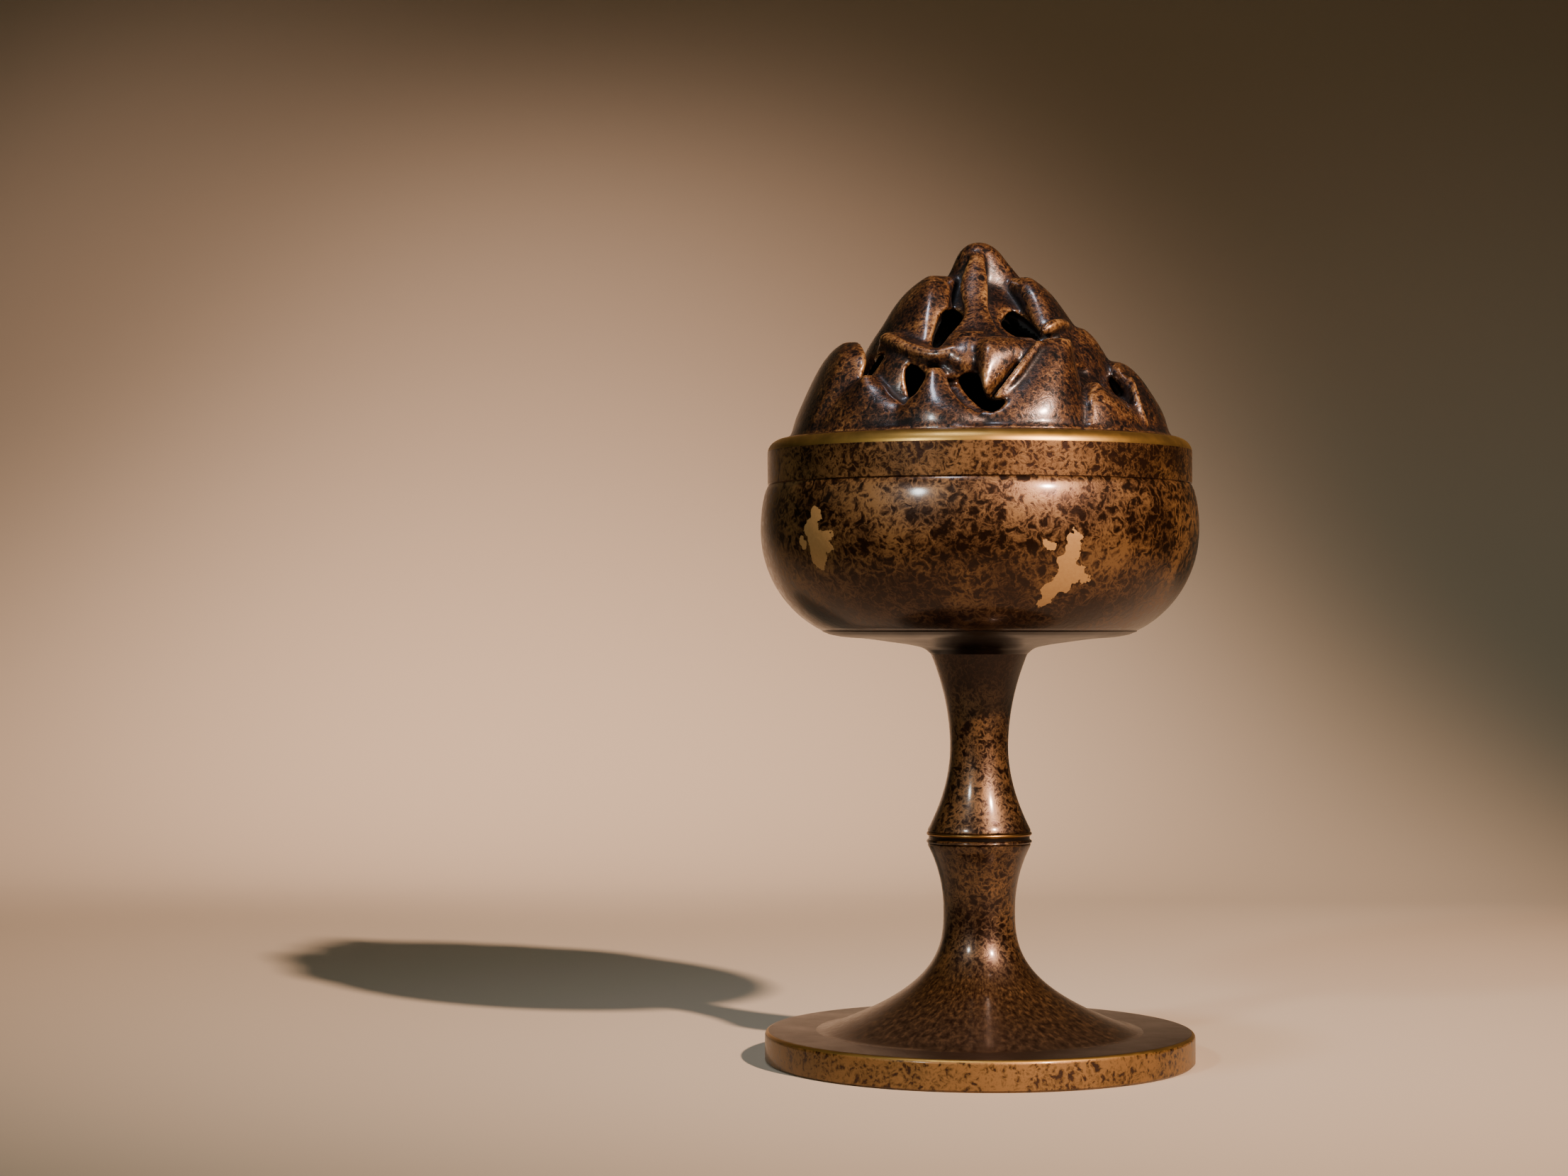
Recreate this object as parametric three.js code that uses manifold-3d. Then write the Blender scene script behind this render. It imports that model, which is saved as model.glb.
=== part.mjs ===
// A stemmed bronze incense burner with a pierced lid cast as a mountain of peaks.
// Units are millimetres, +Z is up, and the origin is the middle of the base disc's underside.

import * as THREE from 'three';
import { mergeVertices } from 'three/addons/utils/BufferGeometryUtils.js';
import Module from 'manifold-3d';

const wasm = await Module();
wasm.setup();

// Fits between pieces
const slidingClearance = 0.3;
const boltClearance = 0.3;
const threadClearance = 0.1;

// Facets around the turned pieces
const wideFacets = 40;
const stemFacets = 24;
const boltFacets = 16;

// Base disc
const discRadius = 49.7;
const discHeight = 7.1;
const discEdgeRounding = 1.1;
const discSpigotRadius = 20;
const discSpigotHeight = 3;
const discRimWidth = 7.5;
const felt = { thickness: 1, sunk: 0.2, edgeClearance: 0.5 };

// Lower stem, a tall trumpet that stands on its wide mouth
const footRadius = 36;
const footLip = 0.8;
const lowerWaistRadius = 8.3;
const lowerWaistHeight = 27.8;
const lowerStemHeight = 43.3;

// Node ring, two polished beads with a dark groove between them
const nodeBeadRadius = 12.2;
const nodeBeadProud = 0.3;
const nodeGrooveDepth = 0.5;
const nodeBeadHeight = 0.8;
const nodeBeadSweep = 60;
const nodeRingHeight = 2.6;

// Upper stem
const upperWaistRadius = 6.74;
const upperWaistHeight = 19.5;
const neckRadius = 13.2;
const upperStemHeight = 41.2;

// Saucer, the smooth underside that carries the bowl
const saucerRadius = 36.5;
const saucerHeight = 5.4;

// Bowl
const bowlRadius = 50.7;
const bowlBulgeHeight = 23.3;
const bowlDrawIn = 1.4;
const bowlHeight = 33.7;
const bowlWall = 2.6;
const bowlFloor = 3.9;
const bowlLipHeight = 4.7;
const bowlLipWall = 1.6;

// Collar ring on top of the bowl
const collarSetBack = 0.2;
const collarHeight = 10.7;
const collarShoulder = 3.3;
const collarShoulderWidth = 4;
const collarSeatDepth = 1.5;
const collarLedge = 2.6;
const collarSkirtWall = 1.8;

// Lid
const lidRise = 46;
const lidRimWidth = 5.2;
const chamberInset = 4.5;
const faceBelly = 1.2;
const ringDrop = 5;
const ringWall = 2.6;

// Tie rod with its washers and nuts
const rodRadius = 3;
const rodProjection = 1;
const washer = { radius: 7, thickness: 1 };
const nut = { acrossFlats: 10, thickness: 4 };
const baseNutThickness = 3.2;
const counterboreRadius = 8.5;

// Ash liner, a thin bowl on a foot ring
const liner = { clearance: 1.2, height: 27.5, wall: 1.2, floorHeight: 8, footRadius: 18, footWall: 1.5 };

// Incense holder, a plate with a pin standing on the liner's floor
const plate = { radius: 13, thickness: 1.6 };
const pin = { radius: 1.2, height: 14, headRadius: 2.8, headThickness: 1, point: 2 };

// Radii that follow from the bowl and the node
const lowerTopRadius = nodeBeadRadius - nodeBeadProud;
const upperFootRadius = nodeBeadRadius - nodeBeadProud;
const bowlShoulderRadius = bowlRadius - bowlDrawIn;
const collarRadius = bowlShoulderRadius - collarSetBack;
const collarMouthRadius = collarRadius - collarShoulderWidth;
const collarBoreRadius = collarMouthRadius - collarLedge;
const collarSkirtRadius = collarRadius - collarSkirtWall;
const lidFootRadius = collarMouthRadius - slidingClearance;
const linerRadius = collarBoreRadius - liner.clearance;
const boreRadius = rodRadius + boltClearance;

// Heights of the joints between the stacked pieces
const discTop = discHeight;
const lowerTop = discTop + lowerStemHeight;
const nodeTop = lowerTop + nodeRingHeight;
const neckHeight = nodeTop + upperStemHeight;
const saucerTop = neckHeight + saucerHeight;
const bowlFloorTop = saucerTop + bowlFloor;
const bowlTop = saucerTop + bowlHeight;
const collarTop = bowlTop + collarHeight;
const lidSeat = collarTop - collarSeatDepth;
const linerFloorTop = bowlFloorTop + liner.floorHeight + liner.wall;
const recessDepth = felt.thickness + felt.sunk;
const baseWasherBottom = recessDepth + baseNutThickness;
const bowlNutTop = bowlFloorTop + washer.thickness + nut.thickness;

const finishes = {
  mottledBronze: { color: 0x5b3a1c, roughness: 0.42, metalness: 0.8 },
  darkBronze: { color: 0x33221a, roughness: 0.38, metalness: 0.8 },
  wornBronze: { color: 0x9a6f2c, roughness: 0.4, metalness: 0.85 },
  polishedBronze: { color: 0xc9a04c, roughness: 0.25, metalness: 0.95 },
  lidBronze: { color: 0x6d4a2b, roughness: 0.34, metalness: 0.8 },
  brass: { color: 0xb08d4a, roughness: 0.4, metalness: 0.9 },
  steel: { color: 0x9a9a96, roughness: 0.4, metalness: 0.9 },
  felt: { color: 0x23201f, roughness: 0.95, metalness: 0 },
};

// A named mesh with a material of its own
function piece(name, geometry, finish) {
  const mesh = new THREE.Mesh(geometry, new THREE.MeshStandardMaterial(finishes[finish]));
  mesh.name = name;
  return mesh;
}

const at = (radius, height) => new THREE.Vector2(radius, height);

// A closed outline turned about the Z axis, given clockwise from its lowest outer point
function turned(outline, facets) {
  const closed = [...outline, outline[0]];
  const geometry = new THREE.LatheGeometry(closed, facets);
  return geometry.rotateX(Math.PI / 2);
}

// Points of an ellipse's arc between two angles in degrees, measured from +R towards +Z
function arc(centre, halfWidth, halfHeight, from, to, steps) {
  const points = [];
  for (let i = 0; i <= steps; i += 1) {
    const angle = THREE.MathUtils.degToRad(from + (to - from) * i / steps);
    points.push(at(centre.x + halfWidth * Math.cos(angle), centre.y + halfHeight * Math.sin(angle)));
  }
  return points;
}

// Points of a trumpet's flare from its waist to its end, the last stretch turning out in a lip
function flare(waist, end, power, lip, steps) {
  const points = [];
  for (let i = 0; i <= steps; i += 1) {
    const along = i / steps;
    const opening = (1 - lip) * along ** power + lip * along ** 12;
    points.push(at(
      waist.x + (end.x - waist.x) * opening,
      waist.y + (end.y - waist.y) * along,
    ));
  }
  return points;
}

// Base disc with a spigot for the stem, a felt recess below and a counterbore for the nut
function baseDisc() {
  const recessRadius = discRadius - discRimWidth;
  const counterboreTop = baseWasherBottom + washer.thickness;
  const edge = at(discRadius - discEdgeRounding, discTop - discEdgeRounding);
  return turned([
    at(recessRadius, 0),
    at(discRadius, 0),
    ...arc(edge, discEdgeRounding, discEdgeRounding, 0, 90, 3),
    at(discSpigotRadius, discTop),
    at(discSpigotRadius, discTop + discSpigotHeight),
    at(boreRadius, discTop + discSpigotHeight),
    at(boreRadius, counterboreTop),
    at(counterboreRadius, counterboreTop),
    at(counterboreRadius, recessDepth),
    at(recessRadius, recessDepth),
  ], wideFacets);
}

// Felt pad glued into the recess, open in the middle under the nut
function feltPad() {
  const outer = discRadius - discRimWidth - felt.edgeClearance;
  const inner = counterboreRadius + felt.edgeClearance;
  return ring(outer, inner, felt.sunk, felt.thickness, wideFacets);
}

// Lower stem, cored from below so that its wall stays even
function lowerStem() {
  const waist = at(lowerWaistRadius, discTop + lowerWaistHeight);
  const foot = at(footRadius, discTop + footLip);
  const top = at(lowerTopRadius, lowerTop);
  const socketRadius = discSpigotRadius + slidingClearance;
  const coreTop = at(boreRadius + 1, discTop + lowerWaistHeight * 0.75);
  const coreFoot = at(socketRadius, discTop + discSpigotHeight + slidingClearance);
  const outside = flare(waist, foot, 2.8, 0, 7).reverse();
  const core = flare(coreTop, coreFoot, 2.4, 0, 3);
  return turned([
    at(footRadius, discTop),
    ...outside,
    ...flare(waist, top, 2.1, 0, 4).slice(1),
    at(boreRadius, lowerTop),
    at(boreRadius, coreTop.y),
    ...core,
    at(socketRadius, discTop),
  ], wideFacets);
}

// Node ring
function nodeRing() {
  const groove = nodeBeadRadius - nodeGrooveDepth;
  const half = nodeBeadHeight / 2;
  const lowBead = at(nodeBeadRadius - half, lowerTop + half);
  const highBead = at(nodeBeadRadius - half, nodeTop - half);
  return turned([
    at(boreRadius, lowerTop),
    ...arc(lowBead, half, half, -90, nodeBeadSweep, 4),
    at(groove, lowerTop + nodeBeadHeight),
    at(groove, nodeTop - nodeBeadHeight),
    ...arc(highBead, half, half, -nodeBeadSweep, 90, 4),
    at(boreRadius, nodeTop),
  ], stemFacets);
}

// Upper stem, narrow in the waist and flared to the neck under the bowl
function upperStem() {
  const waist = at(upperWaistRadius, nodeTop + upperWaistHeight);
  return turned([
    at(boreRadius, nodeTop),
    ...flare(waist, at(upperFootRadius, nodeTop), 1.9, 0, 6).reverse(),
    ...flare(waist, at(neckRadius, neckHeight), 2.1, 0.2, 9).slice(1),
    at(boreRadius, neckHeight),
  ], stemFacets);
}

// Saucer under the bowl, from the neck out to the crease
function bowlSaucer() {
  const width = saucerRadius - neckRadius;
  const underside = new THREE.SplineCurve([
    at(neckRadius, neckHeight),
    at(neckRadius + width * 0.26, neckHeight + saucerHeight * 0.46),
    at(neckRadius + width * 0.52, neckHeight + saucerHeight * 0.63),
    at(neckRadius + width * 0.9, neckHeight + saucerHeight * 0.82),
    at(saucerRadius, saucerTop - saucerHeight * 0.06),
  ]).getPoints(7);
  return turned([
    at(boreRadius, neckHeight),
    ...underside,
    at(saucerRadius, saucerTop),
    at(boreRadius, saucerTop),
  ], wideFacets);
}

// Radius of the bowl's outside at a height, a round wall below the bulge and a gentler one above
function bowlOutside(height) {
  const bulge = saucerTop + bowlBulgeHeight;
  const drop = bowlRadius - saucerRadius;
  const reach = 0.9;
  const depth = 1 - Math.sqrt(1 - reach * reach);
  if (height <= bulge) {
    const share = reach * (bulge - height) / bowlBulgeHeight;
    return bowlRadius - drop * (1 - Math.sqrt(1 - share * share)) / depth;
  }
  const share = (height - bulge) / (bowlTop - bulge);
  return bowlRadius - (bowlRadius - bowlShoulderRadius) * share * share;
}

// Bowl with an even wall, and a lip that stands up inside the collar
function bowl() {
  const outside = [];
  const inside = [];
  const steps = 8;
  const lipTop = bowlTop + bowlLipHeight;
  const lipOuter = collarSkirtRadius - slidingClearance;
  const lipInner = lipOuter - bowlLipWall;
  for (let i = 0; i <= steps; i += 1) {
    const rise = Math.sin(i / steps * Math.PI / 2);
    const eased = i / steps * 0.6 + (1 - Math.cos(i / steps * Math.PI / 2)) * 0.4;
    const height = saucerTop + bowlHeight * eased;
    outside.push(at(bowlOutside(height), height));
    if (i > 0 && i < steps) {
      const depth = bowlWall + (bowlFloor - bowlWall) * (1 - rise);
      inside.push(at(bowlOutside(height) - depth, Math.max(height, bowlFloorTop)));
    }
  }
  const well = inside.filter((point) => point.y > bowlFloorTop + 0.5).reverse();
  const floorEdge = at(saucerRadius - bowlWall, bowlFloorTop);
  return turned([
    at(boreRadius, saucerTop),
    ...outside,
    at(lipOuter, bowlTop),
    at(lipOuter, lipTop),
    at(lipInner, lipTop),
    at(lipInner, bowlTop),
    ...well,
    floorEdge,
    at(boreRadius, bowlFloorTop),
  ], wideFacets);
}

// Collar ring with a round polished shoulder and a ledge that carries the lid
function collarRing() {
  const shoulder = at(collarMouthRadius, collarTop - collarShoulder);
  const step = bowlTop + bowlLipHeight + slidingClearance;
  return turned([
    at(collarSkirtRadius, bowlTop),
    at(collarRadius, bowlTop),
    ...arc(shoulder, collarRadius - collarMouthRadius, collarShoulder, 0, 90, 5),
    at(collarMouthRadius, lidSeat),
    at(collarBoreRadius, lidSeat),
    at(collarBoreRadius, step),
    at(collarSkirtRadius, step),
  ], wideFacets);
}

// Round bar, ring or washer from a few plain sizes
function ring(outer, inner, bottom, height, facets) {
  const top = bottom + height;
  return turned([at(inner, bottom), at(outer, bottom), at(outer, top), at(inner, top)], facets);
}

function hexNut(bottom, thickness) {
  const outline = new THREE.Shape();
  const corner = nut.acrossFlats / 2 / Math.cos(Math.PI / 6);
  for (let i = 0; i < 6; i += 1) {
    const angle = i * Math.PI / 3;
    const method = i === 0 ? 'moveTo' : 'lineTo';
    outline[method](corner * Math.cos(angle), corner * Math.sin(angle));
  }
  const thread = new THREE.Path().absarc(0, 0, rodRadius + threadClearance, 0, Math.PI * 2, true);
  outline.holes.push(thread);
  const geometry = new THREE.ExtrudeGeometry(outline, {
    depth: thickness, bevelEnabled: false, curveSegments: boltFacets,
  });
  return geometry.translate(0, 0, bottom);
}

function tieRod(bottom, top) {
  const geometry = new THREE.CylinderGeometry(rodRadius, rodRadius, top - bottom, boltFacets);
  return geometry.rotateX(Math.PI / 2).translate(0, 0, (bottom + top) / 2);
}

// Ash liner, turned from thin sheet, with a foot ring that stands on the bowl's floor
function ashLiner() {
  const foot = bowlFloorTop;
  const floor = foot + liner.floorHeight;
  const top = foot + liner.height;
  const curve = (top - floor) * 0.55;
  const centre = at(liner.footRadius, floor + curve);
  const inset = liner.wall;
  return turned([
    at(0, floor),
    at(liner.footRadius - liner.footWall, floor),
    at(liner.footRadius - liner.footWall, foot),
    at(liner.footRadius, foot),
    ...arc(centre, linerRadius - liner.footRadius, curve, -90, 0, 4),
    at(linerRadius, top),
    at(linerRadius - inset, top),
    ...arc(centre, linerRadius - liner.footRadius - inset, curve - inset, 0, -90, 4),
    at(0, floor + inset),
  ], wideFacets);
}

// Plate of the incense holder, drilled for the pin
function incensePlate() {
  return ring(plate.radius, pin.radius + threadClearance, linerFloorTop, plate.thickness, wideFacets);
}

// Pin with a head that rests on the plate
function incensePin() {
  const plateTop = linerFloorTop + plate.thickness;
  const headTop = plateTop + pin.headThickness;
  const tip = headTop + pin.height;
  return turned([
    at(0, linerFloorTop),
    at(pin.radius, linerFloorTop),
    at(pin.radius, plateTop),
    at(pin.headRadius, plateTop),
    at(pin.headRadius, headTop),
    at(pin.radius, headTop),
    at(pin.radius, tip - pin.point),
    at(0, tip),
  ], boltFacets);
}

// Closed mesh to solid and back
function toSolid(geometry) {
  geometry.deleteAttribute('normal');
  geometry.deleteAttribute('uv');
  const merged = mergeVertices(geometry, 1e-4);
  return new wasm.Manifold(new wasm.Mesh({
    numProp: 3,
    vertProperties: merged.attributes.position.array,
    triVerts: merged.index.array,
  }));
}

function toGeometry(solid) {
  const mesh = solid.getMesh();
  const geometry = new THREE.BufferGeometry();
  geometry.setAttribute('position', new THREE.BufferAttribute(mesh.vertProperties, 3));
  geometry.setIndex(new THREE.BufferAttribute(mesh.triVerts, 1));
  geometry.computeVertexNormals();
  return geometry;
}

// Turns a geometry from the front, where outward is -Y, to an azimuth towards +X
function turnTo(geometry, azimuth) {
  return geometry.rotateZ(THREE.MathUtils.degToRad(azimuth));
}

// One peak of the mountain: a loft of bowed sections from its foot to a rounded crest.
// Left and right are its half widths, and round is 0 for a pointed crest and 1 for a domed
// one. A foot above the tip gives a hanging spur.
function peak({ azimuth, foot, footReach, tip, reach, left, right, depth, round }) {
  const levels = 4;
  const across = 4;
  const behind = 2;
  const positions = [];
  const sectionSize = across + 1 + behind;
  const thickness = lidFootRadius * depth;
  for (let level = 0; level <= levels; level += 1) {
    const along = level === levels ? 0.985 : level / levels;
    const taper = (1 - along) * (1 - round) + Math.sqrt(1 - along * along) * round;
    const slope = footReach + (reach - footReach) * along;
    const face = lidFootRadius * slope + faceBelly * Math.sin(along * Math.PI);
    const crest = face - thickness * 0.35 * (1 - taper) * along;
    const height = collarTop + lidRise * (foot + (tip - foot) * along);
    const back = thickness * (0.35 + 0.65 * taper);
    for (let i = 0; i <= across; i += 1) {
      const side = i / across * 2 - 1;
      const x = lidFootRadius * (side < 0 ? left : right) * side * taper;
      const bend = Math.max(crest, Math.abs(x) * 1.15);
      const bow = bend - Math.sqrt(bend * bend - x * x);
      positions.push(x, -(crest - bow - back * 0.3 * Math.abs(side) ** 1.6), height);
    }
    for (let i = 1; i <= behind; i += 1) {
      const side = 1 - i / (behind + 1) * 2;
      const x = lidFootRadius * (side < 0 ? left : right) * side * taper * 0.9;
      positions.push(x, -(crest - back), height);
    }
  }
  return toSolid(turnTo(loft(positions, sectionSize, levels), azimuth));
}

// Skin over a stack of sections with the same number of points, closed at both ends
function loft(positions, size, levels) {
  const index = [];
  for (let level = 0; level < levels; level += 1) {
    for (let i = 0; i < size; i += 1) {
      const here = level * size + i;
      const next = level * size + (i + 1) % size;
      index.push(here, next, next + size, here, next + size, here + size);
    }
  }
  for (let i = 1; i < size - 1; i += 1) {
    index.push(0, i + 1, i);
    index.push(levels * size, levels * size + i, levels * size + i + 1);
  }
  const rising = positions[size * 3 + 2] > positions[2];
  if (!rising) index.reverse();
  const geometry = new THREE.BufferGeometry();
  geometry.setAttribute('position', new THREE.Float32BufferAttribute(positions, 3));
  geometry.setIndex(index);
  return geometry;
}

// Place on the lid from an azimuth, a reach and a rise
function place(azimuth, reach, rise) {
  const angle = THREE.MathUtils.degToRad(azimuth);
  const radius = lidFootRadius * reach;
  return new THREE.Vector3(
    radius * Math.sin(angle),
    -radius * Math.cos(angle),
    collarTop + lidRise * rise,
  );
}

// Round-ended bar between two places, thicker at one end where the radii differ
function bar({ from, to, fromRadius, toRadius }) {
  const start = place(...from);
  const end = place(...to);
  const length = start.distanceTo(end);
  const thick = lidFootRadius * fromRadius;
  const thin = lidFootRadius * toRadius;
  const profile = [
    ...arc(at(0, 0), thick, thick, -90, 0, 2),
    ...arc(at(0, length), thin, thin, 0, 90, 2),
  ];
  profile[0].x = 0;
  profile[profile.length - 1].x = 0;
  const geometry = new THREE.LatheGeometry(profile, 8);
  const direction = end.clone().sub(start).normalize();
  geometry.applyQuaternion(new THREE.Quaternion().setFromUnitVectors(new THREE.Vector3(0, 1, 0), direction));
  return toSolid(geometry.translate(start.x, start.y, start.z));
}

// Smoke hole cut straight in along one azimuth, its outline in hundredths of the foot radius
function smokeHole({ azimuth, across, rise, outline }) {
  const curve = new THREE.CatmullRomCurve3(
    outline.map(([x, y]) => new THREE.Vector3(x, y, 0)), true, 'catmullrom', 0.35,
  );
  const points = curve.getPoints(outline.length * 2).slice(0, -1);
  const unit = lidFootRadius / 100;
  const shape = new THREE.Shape(points.map((point) => at(point.x * unit, point.y * unit)));
  const geometry = new THREE.ExtrudeGeometry(shape, { depth: lidFootRadius, bevelEnabled: false });
  geometry.rotateX(Math.PI / 2);
  geometry.translate(across * lidFootRadius, -lidFootRadius * 0.12, collarTop + rise * lidRise);
  return toSolid(turnTo(geometry, azimuth));
}

// Foot of each row: its height and reach as shares of the lid's rise and foot radius
const row = {
  low: { foot: 0, footReach: 0.993, depth: 0.245 },
  tall: { foot: 0, footReach: 0.982, depth: 0.257 },
  middle: { foot: 0.09, footReach: 0.87, depth: 0.223 },
  high: { foot: 0.35, footReach: 0.66, depth: 0.2 },
};

// Peaks from the left side round the front and the back, the rows from the outside in.
// Tips are shares of the lid's rise; reaches, half widths and depths are shares of its foot radius.
const peaks = [
  { ...row.tall, azimuth: -88, tip: 0.49, reach: 0.76, left: 0.38, right: 0.38, round: 0.6 },
  { ...row.low, azimuth: -41, tip: 0.29, reach: 0.85, left: 0.6, right: 0.29, round: 0.2 },
  { ...row.low, azimuth: -15.5, tip: 0.305, reach: 0.84, left: 0.25, right: 0.31, round: 0.12 },
  { ...row.tall, azimuth: 37, tip: 0.465, reach: 0.77, left: 0.54, right: 0.36, round: 0.6 },
  { ...row.low, azimuth: 46, tip: 0.24, reach: 0.88, left: 0.18, right: 0.45, round: 0.3 },
  { ...row.tall, azimuth: 76, tip: 0.375, reach: 0.81, left: 0.31, right: 0.33, round: 0.5 },
  { ...row.low, azimuth: 104, tip: 0.27, reach: 0.86, left: 0.31, right: 0.31, round: 0.25 },
  { ...row.tall, azimuth: 134, tip: 0.475, reach: 0.76, left: 0.4, right: 0.38, round: 0.6 },
  { ...row.low, azimuth: 163, tip: 0.295, reach: 0.85, left: 0.36, right: 0.33, round: 0.2 },
  { ...row.tall, azimuth: 194, tip: 0.42, reach: 0.79, left: 0.38, right: 0.33, round: 0.5 },
  { ...row.low, azimuth: 220, tip: 0.28, reach: 0.86, left: 0.33, right: 0.36, round: 0.25 },
  { ...row.tall, azimuth: 244, tip: 0.38, reach: 0.8, left: 0.31, right: 0.27, round: 0.45 },

  { ...row.middle, azimuth: -50, tip: 0.515, reach: 0.68, left: 0.29, right: 0.38, round: 0.6 },
  { ...row.middle, azimuth: -104, tip: 0.575, reach: 0.55, left: 0.25, right: 0.22, round: 0.5 },
  { ...row.middle, azimuth: 68, tip: 0.55, reach: 0.61, left: 0.33, right: 0.27, round: 0.6 },
  { ...row.middle, azimuth: 112, tip: 0.555, reach: 0.58, left: 0.25, right: 0.27, round: 0.5 },
  { ...row.middle, azimuth: 154, tip: 0.61, reach: 0.55, left: 0.29, right: 0.27, round: 0.6 },
  { ...row.middle, azimuth: 188, tip: 0.51, reach: 0.625, left: 0.27, right: 0.27, round: 0.5 },
  { ...row.middle, azimuth: 224, tip: 0.58, reach: 0.56, left: 0.29, right: 0.27, round: 0.6 },

  { ...row.high, azimuth: -64, tip: 0.81, reach: 0.36, left: 0.29, right: 0.145, round: 0.55 },
  { ...row.high, azimuth: 0, tip: 0.945, reach: 0.145, left: 0.17, right: 0.145, round: 0.4 },
  { ...row.high, azimuth: 67, tip: 0.785, reach: 0.325, left: 0.18, right: 0.27, round: 0.5 },
  { ...row.high, azimuth: 106, tip: 0.72, reach: 0.38, left: 0.18, right: 0.2, round: 0.5 },
  { ...row.high, azimuth: 150, tip: 0.77, reach: 0.335, left: 0.2, right: 0.2, round: 0.5 },
  { ...row.high, azimuth: 204, tip: 0.815, reach: 0.31, left: 0.2, right: 0.2, round: 0.5 },
  { ...row.high, azimuth: 250, tip: 0.73, reach: 0.37, left: 0.2, right: 0.18, round: 0.5 },

  // summit, then the spur that hangs over the front hole
  { azimuth: 0, foot: 0.7, footReach: 0.22, tip: 1, reach: 0.08, left: 0.18, right: 0.29, depth: 0.42, round: 0.45 },
  { azimuth: 3, foot: 0.5, footReach: 0.69, tip: 0.135, reach: 0.88, left: 0.22, right: 0.27, depth: 0.2, round: 0.1 },
];

// Bridges that part the holes: azimuth, reach and rise of each end, and its radius as a share
const bridges = [
  { from: [-42, 0.635, 0.445], to: [-13, 0.715, 0.383], fromRadius: 0.071, toRadius: 0.071 },
  { from: [-13, 0.715, 0.383], to: [2, 0.725, 0.402], fromRadius: 0.071, toRadius: 0.076 },
  { from: [2, 0.69, 0.422], to: [27, 0.67, 0.435], fromRadius: 0.054, toRadius: 0.054 },
];

// Smoke holes, the six of the front first. Across and rise are shares like those of the peaks,
// and each outline is in hundredths of the foot radius, across and up.
const tallHole = [[1.3, 11.2], [8.5, 5.4], [6, -6.7], [-2.2, -10], [-7.1, -6], [-6.9, 6]];
const lowHole = [[-5.8, 5.8], [3.6, 7.6], [6.7, -1.3], [0, -8.5], [-6.2, -3.6]];
const holes = [
  {
    azimuth: 0, across: -0.156, rise: 0.524,
    outline: [[2, 10.9], [8, 5.6], [1.1, -4.7], [-3.6, -11.4], [-8, -9.2], [-4.2, 6]],
  },
  {
    azimuth: 0, across: 0.214, rise: 0.541,
    outline: [[-7.4, 6.5], [-3.6, 7.8], [4.9, 1.8], [10, -6.7], [-1.8, -6.9], [-10.3, 0]],
  },
  {
    azimuth: 0, across: -0.319, rise: 0.239,
    outline: [[-4.2, 7.4], [0, 8.7], [5.6, 3.6], [3.6, -2.5], [-1.3, -8.7], [-4.5, -0.7]],
  },
  {
    azimuth: 0, across: 0.005, rise: 0.178,
    outline: [[-10.5, 8], [-0.7, 9.4], [2, 1.1], [5.6, -3.6], [13.2, -4.2], [5.8, -10.5], [-4.9, -2.7]],
  },
  { azimuth: 0, across: -0.522, rise: 0.333, outline: [[2.5, 6.5], [5.4, 4.9], [-2.2, -6.2], [-5.1, -4.7]] },
  { azimuth: 0, across: 0.696, rise: 0.241, outline: [[-4.5, 5.4], [-0.9, 4], [4.7, -5.4], [-0.9, -3.6]] },
  ...[90, 128, 180, 228, 270].map((azimuth) => ({ azimuth, across: 0, rise: 0.53, outline: tallHole })),
  ...[90, 119, 148, 207, 232, 262].map((azimuth) => ({ azimuth, across: 0, rise: 0.26, outline: lowHole })),
];

// Hillside between the peaks, and the smoke chamber under it
function hillside(inset, bottom) {
  const knots = [[0, 0.97], [0.1, 0.85], [0.3, 0.66], [0.44, 0.54], [0.58, 0.37], [0.72, 0.21], [0.86, 0.06]];
  const outline = knots.map(([rise, reach]) => at(
    Math.max(0.5, lidFootRadius * reach - inset),
    Math.max(bottom, collarTop + lidRise * rise - inset * 0.4),
  ));
  return toSolid(turned([
    at(0, bottom),
    at(outline[0].x, bottom),
    ...outline.slice(inset === 0 ? 0 : 1),
    at(0, outline[outline.length - 1].y + 0.5),
  ], wideFacets));
}

// Rim that drops into the collar's mouth and rests on its ledge
function lidRim() {
  return toSolid(ring(lidFootRadius, lidFootRadius - lidRimWidth, lidSeat, collarSeatDepth + 0.4, wideFacets));
}

function piercedLid() {
  const solids = [hillside(0, lidSeat), lidRim(), ...peaks.map(peak), ...bridges.map(bar)];
  const whole = solids.reduce((sum, solid) => sum.add(solid));
  const chamber = hillside(chamberInset, lidSeat - 1);
  return toGeometry(holes.map(smokeHole).reduce((rest, hole) => rest.subtract(hole), whole.subtract(chamber)));
}

// Ring under the lid that keeps it central in the collar
function lidLocatingRing() {
  const outer = collarBoreRadius - slidingClearance;
  return ring(outer, outer - ringWall, lidSeat - ringDrop, ringDrop, wideFacets);
}

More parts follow.
